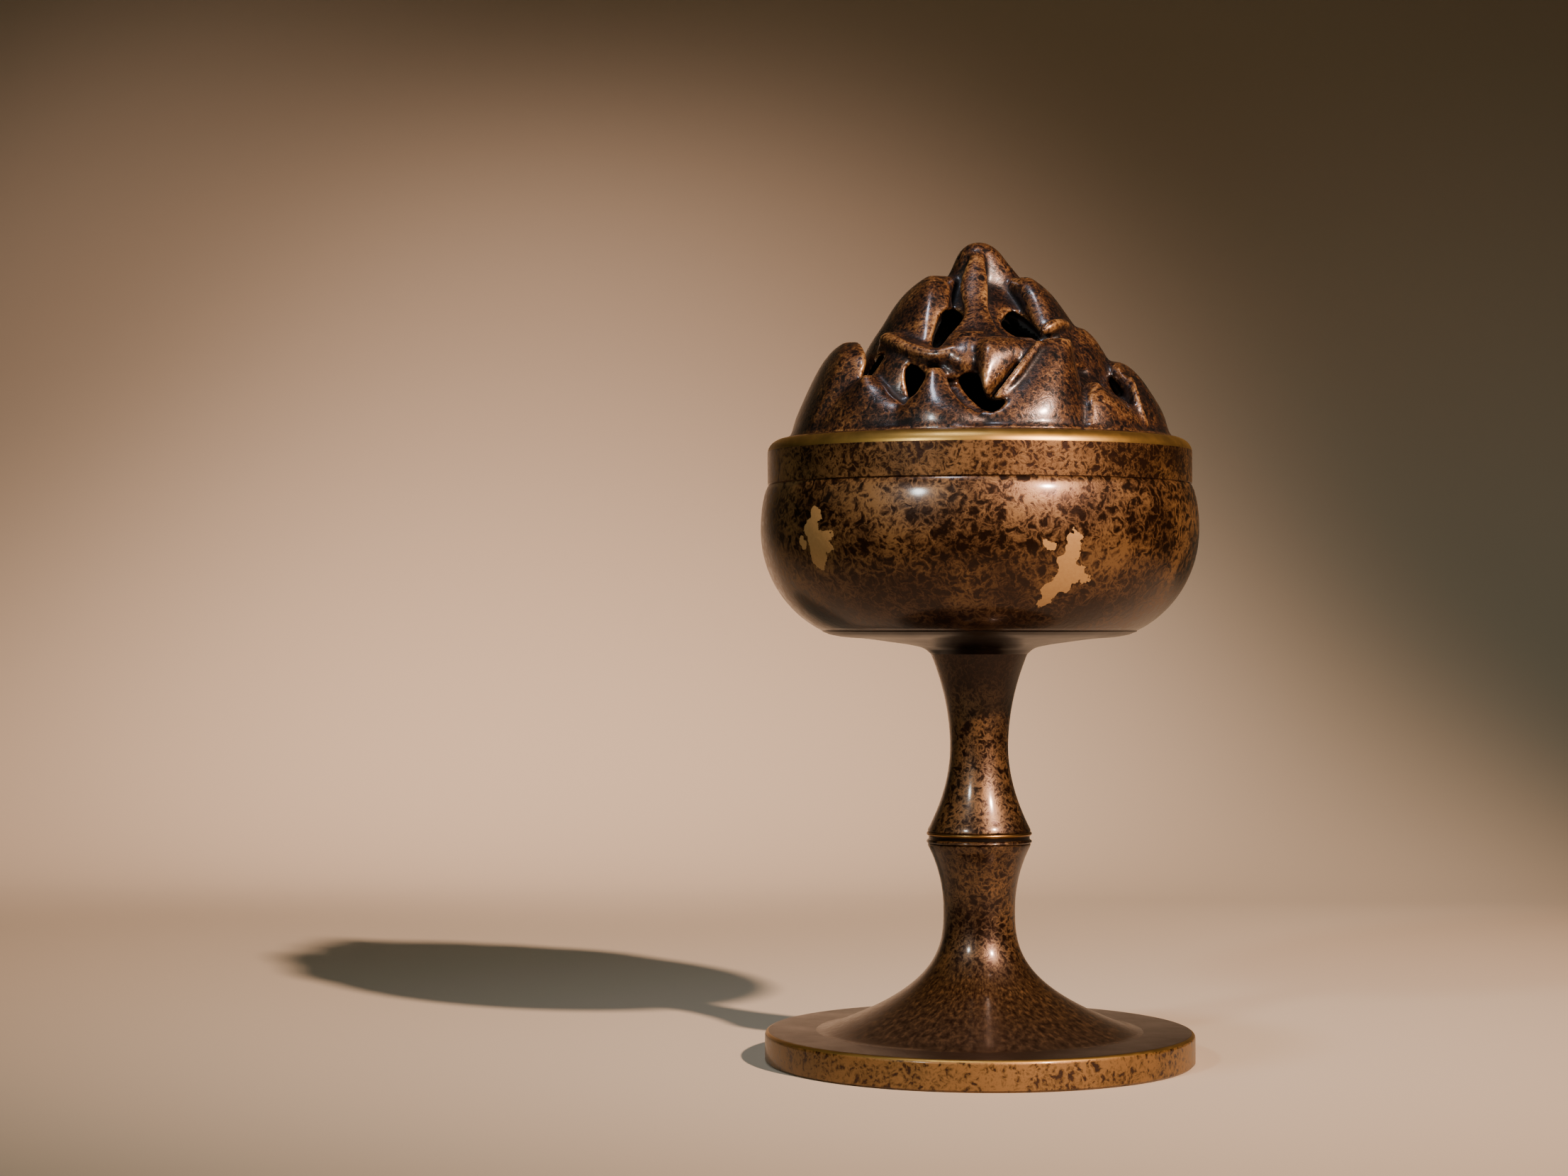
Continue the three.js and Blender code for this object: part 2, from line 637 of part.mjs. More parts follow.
const burner = new THREE.Group();
burner.add(
  piece('base_disc', baseDisc(), 'wornBronze'),
  piece('felt_pad', feltPad(), 'felt'),
  piece('lower_stem', lowerStem(), 'mottledBronze'),
  piece('node_ring', nodeRing(), 'polishedBronze'),
  piece('upper_stem', upperStem(), 'mottledBronze'),
  piece('bowl_saucer', bowlSaucer(), 'darkBronze'),
  piece('bowl', bowl(), 'mottledBronze'),
  piece('collar_ring', collarRing(), 'wornBronze'),
  piece('tie_rod', tieRod(recessDepth, bowlNutTop + rodProjection), 'steel'),
  piece('base_washer', ring(washer.radius, boreRadius, baseWasherBottom, washer.thickness, stemFacets), 'steel'),
  piece('base_nut', hexNut(recessDepth, baseNutThickness), 'steel'),
  piece('bowl_washer', ring(washer.radius, boreRadius, bowlFloorTop, washer.thickness, stemFacets), 'steel'),
  piece('bowl_nut', hexNut(bowlFloorTop + washer.thickness, nut.thickness), 'steel'),
);

const linerGroup = new THREE.Group();
linerGroup.add(piece('ash_liner', ashLiner(), 'brass'));

const holderGroup = new THREE.Group();
holderGroup.add(
  piece('incense_plate', incensePlate(), 'brass'),
  piece('incense_pin', incensePin(), 'brass'),
);

const lidGroup = new THREE.Group();
lidGroup.add(
  piece('pierced_lid', piercedLid(), 'lidBronze'),
  piece('lid_locating_ring', lidLocatingRing(), 'lidBronze'),
);

burner.add(linerGroup, holderGroup, lidGroup);

export default burner;
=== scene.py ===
# %% [markdown]
# A stemmed bronze incense burner with a lid cast as a mountain. The construction comes from the
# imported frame, in metres, and this lesson gives it its looks: smooth turned castings, the
# modelled lid and a patina that was laid on hot, in spots, and rubbed back on the edges.

# %% The frame
import math

import bpy
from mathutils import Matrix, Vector


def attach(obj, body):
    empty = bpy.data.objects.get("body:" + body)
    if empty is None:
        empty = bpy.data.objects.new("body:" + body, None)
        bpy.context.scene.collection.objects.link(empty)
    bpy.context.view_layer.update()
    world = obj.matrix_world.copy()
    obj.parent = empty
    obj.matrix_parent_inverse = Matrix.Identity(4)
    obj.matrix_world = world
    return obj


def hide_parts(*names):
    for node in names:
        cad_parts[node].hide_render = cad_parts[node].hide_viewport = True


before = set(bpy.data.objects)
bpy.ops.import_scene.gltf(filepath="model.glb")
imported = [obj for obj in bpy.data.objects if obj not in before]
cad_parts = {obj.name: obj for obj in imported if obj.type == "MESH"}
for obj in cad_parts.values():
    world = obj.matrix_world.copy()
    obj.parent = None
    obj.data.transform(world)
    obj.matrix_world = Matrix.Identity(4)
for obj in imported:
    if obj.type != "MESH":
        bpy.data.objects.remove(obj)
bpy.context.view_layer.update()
MM = 0.001

# %% [markdown]
# The camera comes first, because everything is judged through it. The burner was photographed
# with a long lens from a little above the middle of its stem, standing right of the middle of
# the picture, so the camera is turned slightly to the left.

# %% Camera
CAMERA_PLACE = Vector((0, -0.7094, 0.102))
CAMERA_PITCH = 90.606
CAMERA_YAW = 3.66

camera_data = bpy.data.cameras.new("photo_camera")
camera_data.lens = 70
camera_data.sensor_width = 36
camera = bpy.data.objects.new("photo_camera", camera_data)
bpy.context.collection.objects.link(camera)
camera.location = CAMERA_PLACE
camera.rotation_euler = (math.radians(CAMERA_PITCH), 0, math.radians(CAMERA_YAW))
bpy.context.scene.camera = camera
print("camera", tuple(camera.location))

# %% [markdown]
# Colours are written as hex values, the way a colour picker shows them, and one function turns
# them to the linear values that a shader works in. A second one sets a node's values and makes
# its links, and a third adds a node, so that each finish below reads as a short recipe.

# %% Colour and node helpers
def hex_colour(code):
    channels = []
    for start in (0, 2, 4):
        value = int(code[start:start + 2], 16) / 255
        channels.append(value / 12.92 if value <= 0.04045 else ((value + 0.055) / 1.055) ** 2.4)
    return (*channels, 1.0)


def plug(material, node, inputs):
    for socket, value in inputs.items():
        target = node.inputs[socket]
        if isinstance(value, bpy.types.NodeSocket):
            material.node_tree.links.new(value, target)
        else:
            target.default_value = value


def add_node(material, kind, inputs=None, stops=(), **settings):
    node = material.node_tree.nodes.new("ShaderNode" + kind)
    for key, value in settings.items():
        setattr(node, key, value)
    plug(material, node, inputs or {})
    for index, (position, code) in enumerate(stops):
        elements = node.color_ramp.elements
        element = elements[index] if index < 2 else elements.new(position)
        element.position, element.color = position, hex_colour(code)
    return node


def new_material(name):
    material = bpy.data.materials.new(name)
    material.use_nodes = True
    return material, material.node_tree.nodes["Principled BSDF"]


print("dark brown", hex_colour("2B170C"))

# %% [markdown]
# Patinated bronze. The casting is heated and dabbed with iron and copper salts, so a dark brown
# oxide film grows in cells a few millimetres wide, and an ochre net of salts stays between them.
# The net is the place where a noise passes its middle value. Wider clouds open and close it, and
# a fine grain frays its edges. The result is one level, low on the film and high on the ochre.

# %% Mottle
GRAIN_MM = 0.8


def mottle(material, place, net, cloud_mm, fall, base, clouding, graining):
    net_mm, fray, distortion = net
    cells = add_node(material, "TexNoise", {
        "Vector": place, "Scale": 1 / (net_mm * MM), "Detail": 3.0, "Roughness": fray,
        "Distortion": distortion})
    clouds = add_node(material, "TexNoise", {
        "Vector": place, "Scale": 1 / (cloud_mm * MM), "Detail": 3.0, "Roughness": 0.6})
    grain = add_node(material, "TexNoise", {
        "Vector": place, "Scale": 1 / (GRAIN_MM * MM), "Detail": 3.0, "Roughness": 0.7})
    signed = add_node(material, "Math", {0: cells.outputs["Fac"], 1: 0.5}, operation="SUBTRACT")
    off_net = add_node(material, "Math", {0: signed.outputs[0]}, operation="ABSOLUTE")
    threads = add_node(material, "Math", {
        0: off_net.outputs[0], 1: -fall, 2: base}, operation="MULTIPLY_ADD")
    clouded = add_node(material, "Math", {
        0: clouds.outputs["Fac"], 1: clouding, 2: threads.outputs[0]}, operation="MULTIPLY_ADD")
    level = add_node(material, "Math", {
        0: grain.outputs["Fac"], 1: graining, 2: clouded.outputs[0]}, operation="MULTIPLY_ADD")
    return level.outputs[0], grain.outputs["Fac"]


print("grain", GRAIN_MM, "mm")

# %% [markdown]
# The foot was stippled with a stiff brush instead. Its fine speckle lies on the cone unrolled
# flat, round by the bearing and out by the logarithm of the radius, so that its grains stay
# about as long as wide. The seam of the bearing falls at the back. Above the foot the speckle
# gives way to the net.

# %% Foot speckle
SPECKLE_MM = 0.9
SPECKLE_ROUND_MM = 20
SPECKLE_OUT_MM = 13


def speckled(material, place, parts, level, below):
    back = add_node(material, "Math", {0: parts["Y"], 1: -1.0}, operation="MULTIPLY")
    turn = add_node(material, "Math", {0: parts["X"], 1: back.outputs[0]}, operation="ARCTAN2")
    along = add_node(material, "Math", {
        0: turn.outputs[0], 1: SPECKLE_ROUND_MM * MM}, operation="MULTIPLY")
    flat = add_node(material, "VectorMath", {0: place, 1: (1, 1, 0)}, operation="MULTIPLY")
    reach = add_node(material, "VectorMath", {0: flat.outputs[0]}, operation="LENGTH")
    growth = add_node(material, "Math", {
        0: reach.outputs["Value"], 1: math.e}, operation="LOGARITHM")
    outward = add_node(material, "Math", {
        0: growth.outputs[0], 1: SPECKLE_OUT_MM * MM}, operation="MULTIPLY")
    unrolled = add_node(material, "CombineXYZ", {"X": along.outputs[0], "Y": outward.outputs[0]})
    speckle = add_node(material, "TexNoise", {
        "Vector": unrolled.outputs[0], "Scale": 1 / (SPECKLE_MM * MM), "Detail": 3.0,
        "Roughness": 0.65})
    dust = add_node(material, "Math", {
        0: speckle.outputs["Fac"], 1: 1.5, 2: -0.22}, operation="MULTIPLY_ADD")
    shaft = add_node(material, "MapRange", {
        "Value": parts["Z"], "From Min": (below - 4) * MM, "From Max": (below + 5) * MM})
    return add_node(material, "Mix", {
        "Factor": shaft.outputs["Result"], 2: dust.outputs[0], 3: level},
        data_type="FLOAT").outputs[0]


print("speckle", SPECKLE_MM, "mm")

# %% [markdown]
# Gold splashes were fired on. Each is a group of overlapping round spots, and a noise of a few
# millimetres makes their common edge ragged. The leaf is half matt and hides the film below it.

# %% Gold splashes
RAGGED_MM = 3.4


def gilded(material, place, grain, splashes, colour, metallic, rough):
    edge = add_node(material, "TexNoise", {
        "Vector": place, "Scale": 1 / (2.2 * MM), "Detail": 3.0, "Roughness": 0.65})
    inside = None
    for centre, radius in splashes:
        away = add_node(material, "VectorMath", {0: place, 1: centre}, operation="DISTANCE")
        depth = add_node(material, "Math", {
            0: radius * MM, 1: away.outputs["Value"]}, operation="SUBTRACT").outputs[0]
        inside = depth if inside is None else add_node(material, "Math", {
            0: inside, 1: depth}, operation="MAXIMUM").outputs[0]
    ragged = add_node(material, "Math", {
        0: edge.outputs["Fac"], 1: RAGGED_MM * MM, 2: inside}, operation="MULTIPLY_ADD")
    gilt = add_node(material, "MapRange", {
        "Value": ragged.outputs[0], "From Min": RAGGED_MM / 2 * MM,
        "From Max": (RAGGED_MM / 2 + 0.1) * MM}).outputs["Result"]
    leaf = add_node(material, "Mix", {
        "Factor": grain, 6: hex_colour("967444"), 7: hex_colour("846036")}, data_type="RGBA")
    return (
        add_node(material, "Mix", {
            "Factor": gilt, 6: colour, 7: leaf.outputs[2]}, data_type="RGBA").outputs[2],
        add_node(material, "Mix", {
            "Factor": gilt, 2: metallic, 3: 0.35}, data_type="FLOAT").outputs[0],
        add_node(material, "Mix", {
            "Factor": gilt, 2: rough, 3: 0.5}, data_type="FLOAT").outputs[0])


print("ragged edge", RAGGED_MM, "mm")

# %% [markdown]
# The patina of stem, bowl, collar and rim. The film is glossy and metallic, and the ochre is
# matt and holds its colour in any light. Between two heights the level is lowered, so that the
# film closes over the net there: this is painted shade, on the neck under the bowl and on the
# lower bowl. Towards the toe of the foot the speckle sinks into the plain brown of the disc's
# top. A thin coat of wax lies over everything.

# %% Patina recipe
CLOUD_MM = 12
# How far the painted shade lowers the patina level.
PAINTED_SHADE_DROP = -0.28


def patina(name, net_mm, shades, cover, gloss=0.3, painted_shade_span=(), speckle_below=None, splashes=()):
    material, shader = new_material(name)
    place = add_node(material, "TexCoord").outputs["Object"]
    parts = add_node(material, "SeparateXYZ", {0: place}).outputs
    level, grain = mottle(
        material, place, (net_mm, 0.62, 0.45), CLOUD_MM, 4.0, cover - 0.73, 1.4, 0.6)
    # Painted shade: between two heights the level sinks towards the dark film.
    if painted_shade_span:
        painted_shade = add_node(material, "MapRange", {
            "Value": parts["Z"], "From Min": painted_shade_span[0] * MM, "From Max": painted_shade_span[1] * MM,
            "To Min": PAINTED_SHADE_DROP, "To Max": 0.0})
        level = add_node(material, "Math", {
            0: level, 1: painted_shade.outputs["Result"]}, operation="ADD").outputs[0]
    if speckle_below:
        level = speckled(material, place, parts, level, speckle_below)
    colour = add_node(material, "ValToRGB", {"Fac": level}, shades).outputs["Color"]
    if speckle_below:
        toe = add_node(material, "MapRange", {
            "Value": parts["Z"], "From Min": 18 * MM, "From Max": 7.6 * MM, "To Max": 0.7})
        colour = add_node(material, "Mix", {
            "Factor": toe.outputs["Result"], 6: colour, 7: hex_colour("33241A")},
            data_type="RGBA").outputs[2]
    metallic = add_node(material, "MapRange", {
        "Value": level, "From Min": 0.3, "From Max": 0.75,
        "To Min": 0.8, "To Max": 0.5}).outputs["Result"]
    rough = add_node(material, "MapRange", {
        "Value": level, "From Min": 0.2, "From Max": 0.8,
        "To Min": gloss, "To Max": gloss + 0.16}).outputs["Result"]
    if splashes:
        colour, metallic, rough = gilded(material, place, grain, splashes, colour, metallic, rough)
    bump = add_node(material, "Bump", {"Height": level, "Strength": 0.2, "Distance": 0.12 * MM})
    plug(material, shader, {
        "Base Color": colour, "Metallic": metallic, "Roughness": rough,
        "Normal": bump.outputs["Normal"], "Coat Weight": 0.3, "Coat Roughness": 0.13})
    return material


finishes = {
    "stem": patina("patinated_bronze_stem", 1.9, (
        (0.15, "1D0E05"), (0.4, "2B180A"), (0.6, "3B2710"), (0.85, "55391A")), 0.46,
        # Painted shade on the neck, darkest just under the bowl.
        painted_shade_span=(95, 84), speckle_below=22),
    "collar": patina("rubbed_bronze_collar", 2.0, (
        (0.1, "28150A"), (0.34, "3B240E"), (0.5, "4B3114"), (0.85, "5E401C")), 0.42, 0.36),
    "rim": patina("rubbed_bronze_rim", 2.3, (
        (0.1, "2B1809"), (0.3, "3B230C"), (0.45, "523913"), (0.85, "63441A")), 0.58, 0.36),
}
print("patinas", len(finishes))

# %% [markdown]
# Even finishes. The saucer and the disc's top were turned and darkened evenly, the upper bead
# and the collar's shoulder were polished back towards the gold of the metal, and the inner
# fittings are spun brass and zinc-plated steel. The tool leaves fine rings on all of them, which
# come from a noise that sees only the distance from the axis and the height. Felt and soot are
# the same recipe without the metal.

# %% Even finishes
def even_finish(name, colour, tint, tint_mm, roughness, metallic, coat, ring_mm):
    material, shader = new_material(name)
    place = add_node(material, "TexCoord").outputs["Object"]
    clouds = add_node(material, "TexNoise", {
        "Vector": place, "Scale": 1 / (tint_mm * MM), "Detail": 5.0, "Roughness": 0.6})
    mix = add_node(material, "Mix", {
        "Factor": clouds.outputs["Fac"], 6: hex_colour(colour), 7: hex_colour(tint)},
        data_type="RGBA")
    flat = add_node(material, "VectorMath", {0: place, 1: (1, 1, 0)}, operation="MULTIPLY")
    radius = add_node(material, "VectorMath", {0: flat.outputs[0]}, operation="LENGTH")
    height = add_node(material, "SeparateXYZ", {0: place})
    section = add_node(material, "CombineXYZ", {
        "X": radius.outputs["Value"], "Y": height.outputs["Z"]})
    rings = add_node(material, "TexNoise", {
        "Vector": section.outputs[0], "Scale": 1 / (ring_mm * MM), "Detail": 2.0,
        "Roughness": 0.6})
    rough = add_node(material, "MapRange", {
        "Value": clouds.outputs["Fac"], "From Min": 0.3, "From Max": 0.7,
        "To Min": roughness - 0.04, "To Max": roughness + 0.06})
    bump = add_node(material, "Bump", {
        "Height": rings.outputs["Fac"], "Strength": 0.15, "Distance": 0.05 * MM})
    plug(material, shader, {
        "Base Color": mix.outputs[2], "Metallic": metallic, "Roughness": rough.outputs["Result"],
        "Normal": bump.outputs["Normal"], "Specular IOR Level": 0.5 if metallic else 0.05,
        "Coat Weight": coat, "Coat Roughness": 0.25})
    return material


# key, name, colour, tint, size of its clouds in mm, roughness, metallic, coat, ring width in mm
for key, *recipe in (
        ("saucer", "darkened_bronze", "180E07", "100804", 9.0, 0.34, 0.8, 0.1, 0.5),
        ("disc_top", "browned_bronze", "33241A", "281B13", 9.0, 0.38, 0.7, 0.2, 0.5),
        ("polished", "polished_bronze", "AC8748", "8A6832", 4.0, 0.38, 1.0, 0.0, 0.5),
        ("bead", "polished_patina", "9A7646", "6E4E28", 2.5, 0.3, 1.0, 0.0, 0.5),
        ("brass", "spun_brass", "A8864A", "6E5328", 9.0, 0.4, 1.0, 0.0, 0.5),
        ("steel", "zinc_plated_steel", "9C9B96", "85847F", 9.0, 0.38, 1.0, 0.0, 0.5),
        ("felt", "pressed_felt", "241F1D", "1A1615", 1.5, 0.93, 0.0, 0.0, 0.3),
        ("soot", "incense_soot", "0A0807", "050404", 2.5, 0.93, 0.0, 0.0, 0.6)):
    finishes[key] = even_finish(*recipe)
print("finishes", sorted(finishes))

# %% [markdown]
# Turned pieces. On the real object they come off a lathe, and here they do as well: a single
# point is extruded along the outline of the section, and the outline is spun once round the
# upright axis. The outlines repeat the construction's sizes in millimetres.

# %% Lathe
TURN_STEPS = 160
WELD_MM = 0.002
CREASE = 32


def clear_selection():
    if bpy.context.object and bpy.context.object.mode != "OBJECT":
        bpy.ops.object.mode_set(mode="OBJECT")
    bpy.ops.object.select_all(action="DESELECT")


def choose(piece):
    clear_selection()
    piece.select_set(True)
    bpy.context.view_layer.objects.active = piece


def arc(centre, half_width, half_height, start, end, steps):
    points = []
    for i in range(steps + 1):
        angle = math.radians(start + (end - start) * i / steps)
        points.append((centre[0] + half_width * math.cos(angle),
                       centre[1] + half_height * math.sin(angle)))
    return points


def flare(waist, end, power, steps):
    points = []
    for i in range(steps + 1):
        along = i / steps
        points.append((waist[0] + (end[0] - waist[0]) * along ** power,
                       waist[1] + (end[1] - waist[1]) * along))
    return points


def dress(piece, finish, body, node):
    piece.data.materials.append(finishes[finish])
    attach(piece, body)
    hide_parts(node)


def finish_part(piece, finish, chosen):
    piece.data.materials.append(finishes[finish])
    faces = [face for face in piece.data.polygons if chosen(face.center / MM, face.normal)]
    for face in faces:
        face.material_index = len(piece.data.materials) - 1
    print(piece.name, finish, "on", len(faces), "faces")


def turned(name, outline, steps=TURN_STEPS):
    clear_selection()
    bpy.ops.mesh.primitive_plane_add(size=MM, location=(outline[0][0] * MM, 0, outline[0][1] * MM))
    piece = bpy.context.object
    piece.name = name
    bpy.ops.object.transform_apply(location=True, rotation=False, scale=False)
    bpy.ops.object.mode_set(mode="EDIT")
    bpy.ops.mesh.merge(type="CENTER")
    for here, there in zip(outline, outline[1:]):
        move = ((there[0] - here[0]) * MM, 0, (there[1] - here[1]) * MM)
        bpy.ops.mesh.extrude_region_move(TRANSFORM_OT_translate={"value": move})
    bpy.ops.mesh.select_all(action="SELECT")
    bpy.ops.mesh.spin(steps=steps, angle=2 * math.pi, center=(0, 0, 0), axis=(0, 0, 1))
    bpy.ops.mesh.select_all(action="SELECT")
    bpy.ops.mesh.remove_doubles(threshold=WELD_MM * MM)
    bpy.ops.mesh.normals_make_consistent(inside=False)
    bpy.ops.object.mode_set(mode="OBJECT")
    bpy.ops.object.shade_smooth_by_angle(angle=math.radians(CREASE))
    print(name, len(piece.data.polygons), "faces")
    return piece


print("lathe turns in", TURN_STEPS, "steps")

# %% [markdown]
# Base disc: a thick turned plate. Its rim was rubbed back to gold, the edge above it was polished
# and its top kept the brown film, so each gets a finish, chosen by where a face lies and looks.

# %% Base disc
DISC_RADIUS = 49.7
DISC_HEIGHT = 7.1
BORE = 3.3
EDGE = 1.1
FELT_RADIUS = 42.2
base_disc = turned("turned_disc", [
    (FELT_RADIUS, 0), (DISC_RADIUS - 0.5, 0), (DISC_RADIUS, 0.5),
    *arc((DISC_RADIUS - EDGE, DISC_HEIGHT - EDGE), EDGE, EDGE, 0, 90, 6),
    (20, DISC_HEIGHT), (20, 10.1), (BORE, 10.1), (BORE, 5.4), (8.5, 5.4), (8.5, 1.2),
    (FELT_RADIUS, 1.2), (FELT_RADIUS, 0)])
dress(base_disc, "rim", "burner_body", "base_disc")
FACES_UP = 0.97
finish_part(base_disc, "disc_top", lambda place, normal: place.z > 7.0 and normal.z > FACES_UP)
finish_part(base_disc, "polished",
            lambda place, normal: place.z > 6.5 and 0.3 < normal.z < FACES_UP)

# %% [markdown]
# Lower stem: one casting that opens from a slim waist into the wide foot. The section follows a
# power curve on both sides of the waist, steep near the foot, as a trumpet's bell does. Its
# finish changes with height, from the net on the shaft to the fine speckle on the foot.

# %% Lower stem
STEM_TOP = 50.4
foot_curve = flare((8.3, 34.9), (36, 7.35), 2.8, 26)
lower_stem = turned("turned_lower_stem", [
    (BORE, STEM_TOP), (11.7, STEM_TOP), (11.9, STEM_TOP - 0.2),
    *reversed(flare((8.3, 34.9), (11.9, 49.9), 2.1, 10)),
    *foot_curve[1:], (36.9, 7.2), (37.8, DISC_HEIGHT),
    (20.3, DISC_HEIGHT), (20.3, 10.4), *reversed(flare((4.3, 27.9), (20.3, 10.4), 2.4, 8)),
    (BORE, 27.9), (BORE, STEM_TOP)])
dress(lower_stem, "stem", "burner_body", "lower_stem")

# %% [markdown]
# Node ring: two slim beads with a groove between them that stays dark. The upper bead is
# polished bright and the lower one kept its film.

# %% Node ring
NODE_TOP = 53.0
node_ring = turned("turned_node_ring", [
    (BORE, STEM_TOP), *arc((11.8, 50.8), 0.4, 0.4, -90, 60, 8),
    (11.7, 51.35), (11.7, 52.05), *arc((11.8, 52.6), 0.4, 0.4, -60, 90, 8),
    (BORE, NODE_TOP), (BORE, STEM_TOP)])
dress(node_ring, "bead", "burner_body", "node_ring")
finish_part(node_ring, "stem", lambda place, normal: place.z < 51.9)
finish_part(node_ring, "saucer",
            lambda place, normal: 51.3 < place.z < 52.1 and place.xy.length < 11.9)

# %% [markdown]
# Upper stem: the slimmer waist under the bowl. It opens into the saucer without a corner.

# %% Upper stem
NECK = 94.2
upper_stem = turned("turned_upper_stem", [
    (BORE, NODE_TOP), (11.7, NODE_TOP), (11.9, NODE_TOP + 0.2),
    *reversed(flare((6.74, 72.5), (11.9, 53.5), 1.9, 14)),
    *flare((6.74, 72.5), (11.2, NECK), 2.0, 22)[1:],
    (BORE, NECK), (BORE, NODE_TOP)])
dress(upper_stem, "stem", "burner_body", "upper_stem")

# %% [markdown]
# Saucer: the smooth underside of the bowl. A curve through a few measured places is drawn with
# Blender's own Bezier tool and read back as an outline, so that it has no corners.

# %% Saucer
SAUCER_TOP = 99.6


def smooth_outline(places, per_span=6):
    clear_selection()
    bpy.ops.curve.primitive_bezier_curve_add()
    curve = bpy.context.object
    spline = curve.data.splines[0]
    spline.bezier_points.add(len(places) - 2)
    for point, (radius, height) in zip(spline.bezier_points, places):
        point.co = (radius, 0, height)
        point.handle_left_type = point.handle_right_type = "AUTO"
    curve.data.resolution_u = per_span
    bpy.ops.object.convert(target="MESH")
    outline = [(vertex.co.x, vertex.co.z) for vertex in bpy.context.object.data.vertices]
    bpy.ops.object.delete()
    return outline


underside = smooth_outline([
    (11.2, NECK), (12.7, 95.4), (15.6, 96.2), (19.5, 96.8), (25.3, 97.6), (34.2, 98.6),
    (36.4, 99.4)])
bowl_saucer = turned("turned_saucer", [
    (BORE, NECK), *underside, (36.5, SAUCER_TOP), (BORE, SAUCER_TOP), (BORE, NECK)])
dress(bowl_saucer, "saucer", "burner_body", "bowl_saucer")

# %% [markdown]
# Bowl: a round wall up to the bulge and a gentler one to the shoulder. Inside, the wall keeps
# its thickness, and the lip stands up behind the collar.

# %% Bowl
BOWL_TOP = 133.3
BULGE = 122.9
BULGE_RADIUS = 50.7
BOWL_WALL = 2.7
FOOT_INSET = 14.2
SHOULDER_INSET = 1.6
ROUNDNESS = 0.9
OUTSIDE_STEPS = 30


def bowl_radius(height):
    if height <= BULGE:
        share = ROUNDNESS * (BULGE - height) / (BULGE - SAUCER_TOP)
        inset = (1 - math.sqrt(1 - share * share)) / (1 - math.sqrt(1 - ROUNDNESS * ROUNDNESS))
        return BULGE_RADIUS - FOOT_INSET * inset
    share = (height - BULGE) / (BOWL_TOP - BULGE)
    return BULGE_RADIUS - SHOULDER_INSET * share ** 2.4


outside = []
for i in range(OUTSIDE_STEPS + 1):
    share = i / OUTSIDE_STEPS
    rise = 0.6 * share + 0.4 * (1 - math.cos(math.radians(90 * share)))
    height = SAUCER_TOP + (BOWL_TOP - SAUCER_TOP) * rise
    outside.append((bowl_radius(height), height))
inside = [(radius - BOWL_WALL, height) for radius, height in outside if 104.4 < height < 132.6]
bowl = turned("turned_bowl", [
    (BORE, SAUCER_TOP), (36.5, SAUCER_TOP), *outside[1:-1], (49.05, 133.05), (48.75, BOWL_TOP),
    (47.0, BOWL_TOP), (47.0, 137.8), (46.8, 138.0), (45.6, 138.0), (45.4, 137.8),
    (45.4, BOWL_TOP), *reversed(inside), (36.2, 103.5), (BORE, 103.5), (BORE, SAUCER_TOP)])

# %% [markdown]
# The bowl's gold splashes, two in front and two behind. Each spot is a bearing in degrees from
# the front, a height and a radius.

# %% Bowl finish
def polar(bearing, reach, height):
    angle = math.radians(bearing)
    return (reach * math.sin(angle) * MM, -reach * math.cos(angle) * MM, height * MM)


SPLASHES = [
    (24.6, 121.0, 1.0), (24.2, 119.4, 1.7), (24.0, 117.0, 2.2), (22.8, 114.4, 2.4),
    (25.6, 112.0, 2.6), (28.2, 111.2, 1.4), (22.6, 110.2, 2.8), (19.6, 108.6, 2.1),
    (18.6, 106.2, 1.6), (18.4, 117.8, 1.1), (16.8, 118.6, 0.8),
    (-45.4, 125.4, 1.7), (-47.0, 122.4, 2.6), (-45.8, 119.6, 2.9), (-41.2, 120.8, 1.6),
    (-41.0, 118.2, 1.5), (-45.4, 116.4, 2.5), (-45.8, 114.4, 1.5), (-50.6, 119.0, 1.4),
    (128, 124, 2.2), (131, 121, 2.8), (127, 118.5, 1.8),
    (216, 116, 2.3), (212, 113.5, 2.7), (218, 111, 1.5)]
finishes["bowl"] = patina("patinated_bronze_bowl", 2.6, (
    (0.15, "231207"), (0.4, "36200D"), (0.6, "4A3015"), (0.85, "5F421F")), 0.44,
    # Painted shade on the lower bowl, darkest at its foot.
    painted_shade_span=(100, 114),
    splashes=[(polar(bearing, bowl_radius(height), height), radius)
              for bearing, height, radius in SPLASHES])
dress(bowl, "bowl", "burner_body", "bowl")
print("gold spots", len(SPLASHES))

# %% [markdown]
# Collar ring: its band kept some film and its rounded shoulder was polished. The top of the
# shoulder keeps the band's dark finish as a painted shade line under the lid. The ledge inside
# carries the lid's rim.

# %% Collar ring
LEDGE = 142.5
collar_ring = turned("turned_collar", [
    (47.3, BOWL_TOP), (48.75, BOWL_TOP), (49.1, 133.55),
    *arc((45.1, 140.7), 4.0, 3.3, 0, 90, 16),
    (45.1, LEDGE), (42.5, LEDGE), (42.5, 138.3), (47.3, 138.3), (47.3, BOWL_TOP)])
dress(collar_ring, "collar", "burner_body", "collar_ring")
# Polished only up to 143.6 mm; above it the dark band finish stays as painted shade next to the
# lid.
finish_part(collar_ring, "polished", lambda place, normal: 141.0 < place.z < 143.6)

# %% [markdown]
# Fittings inside the bowl: the spun ash liner, and the plate and pin of the incense holder.

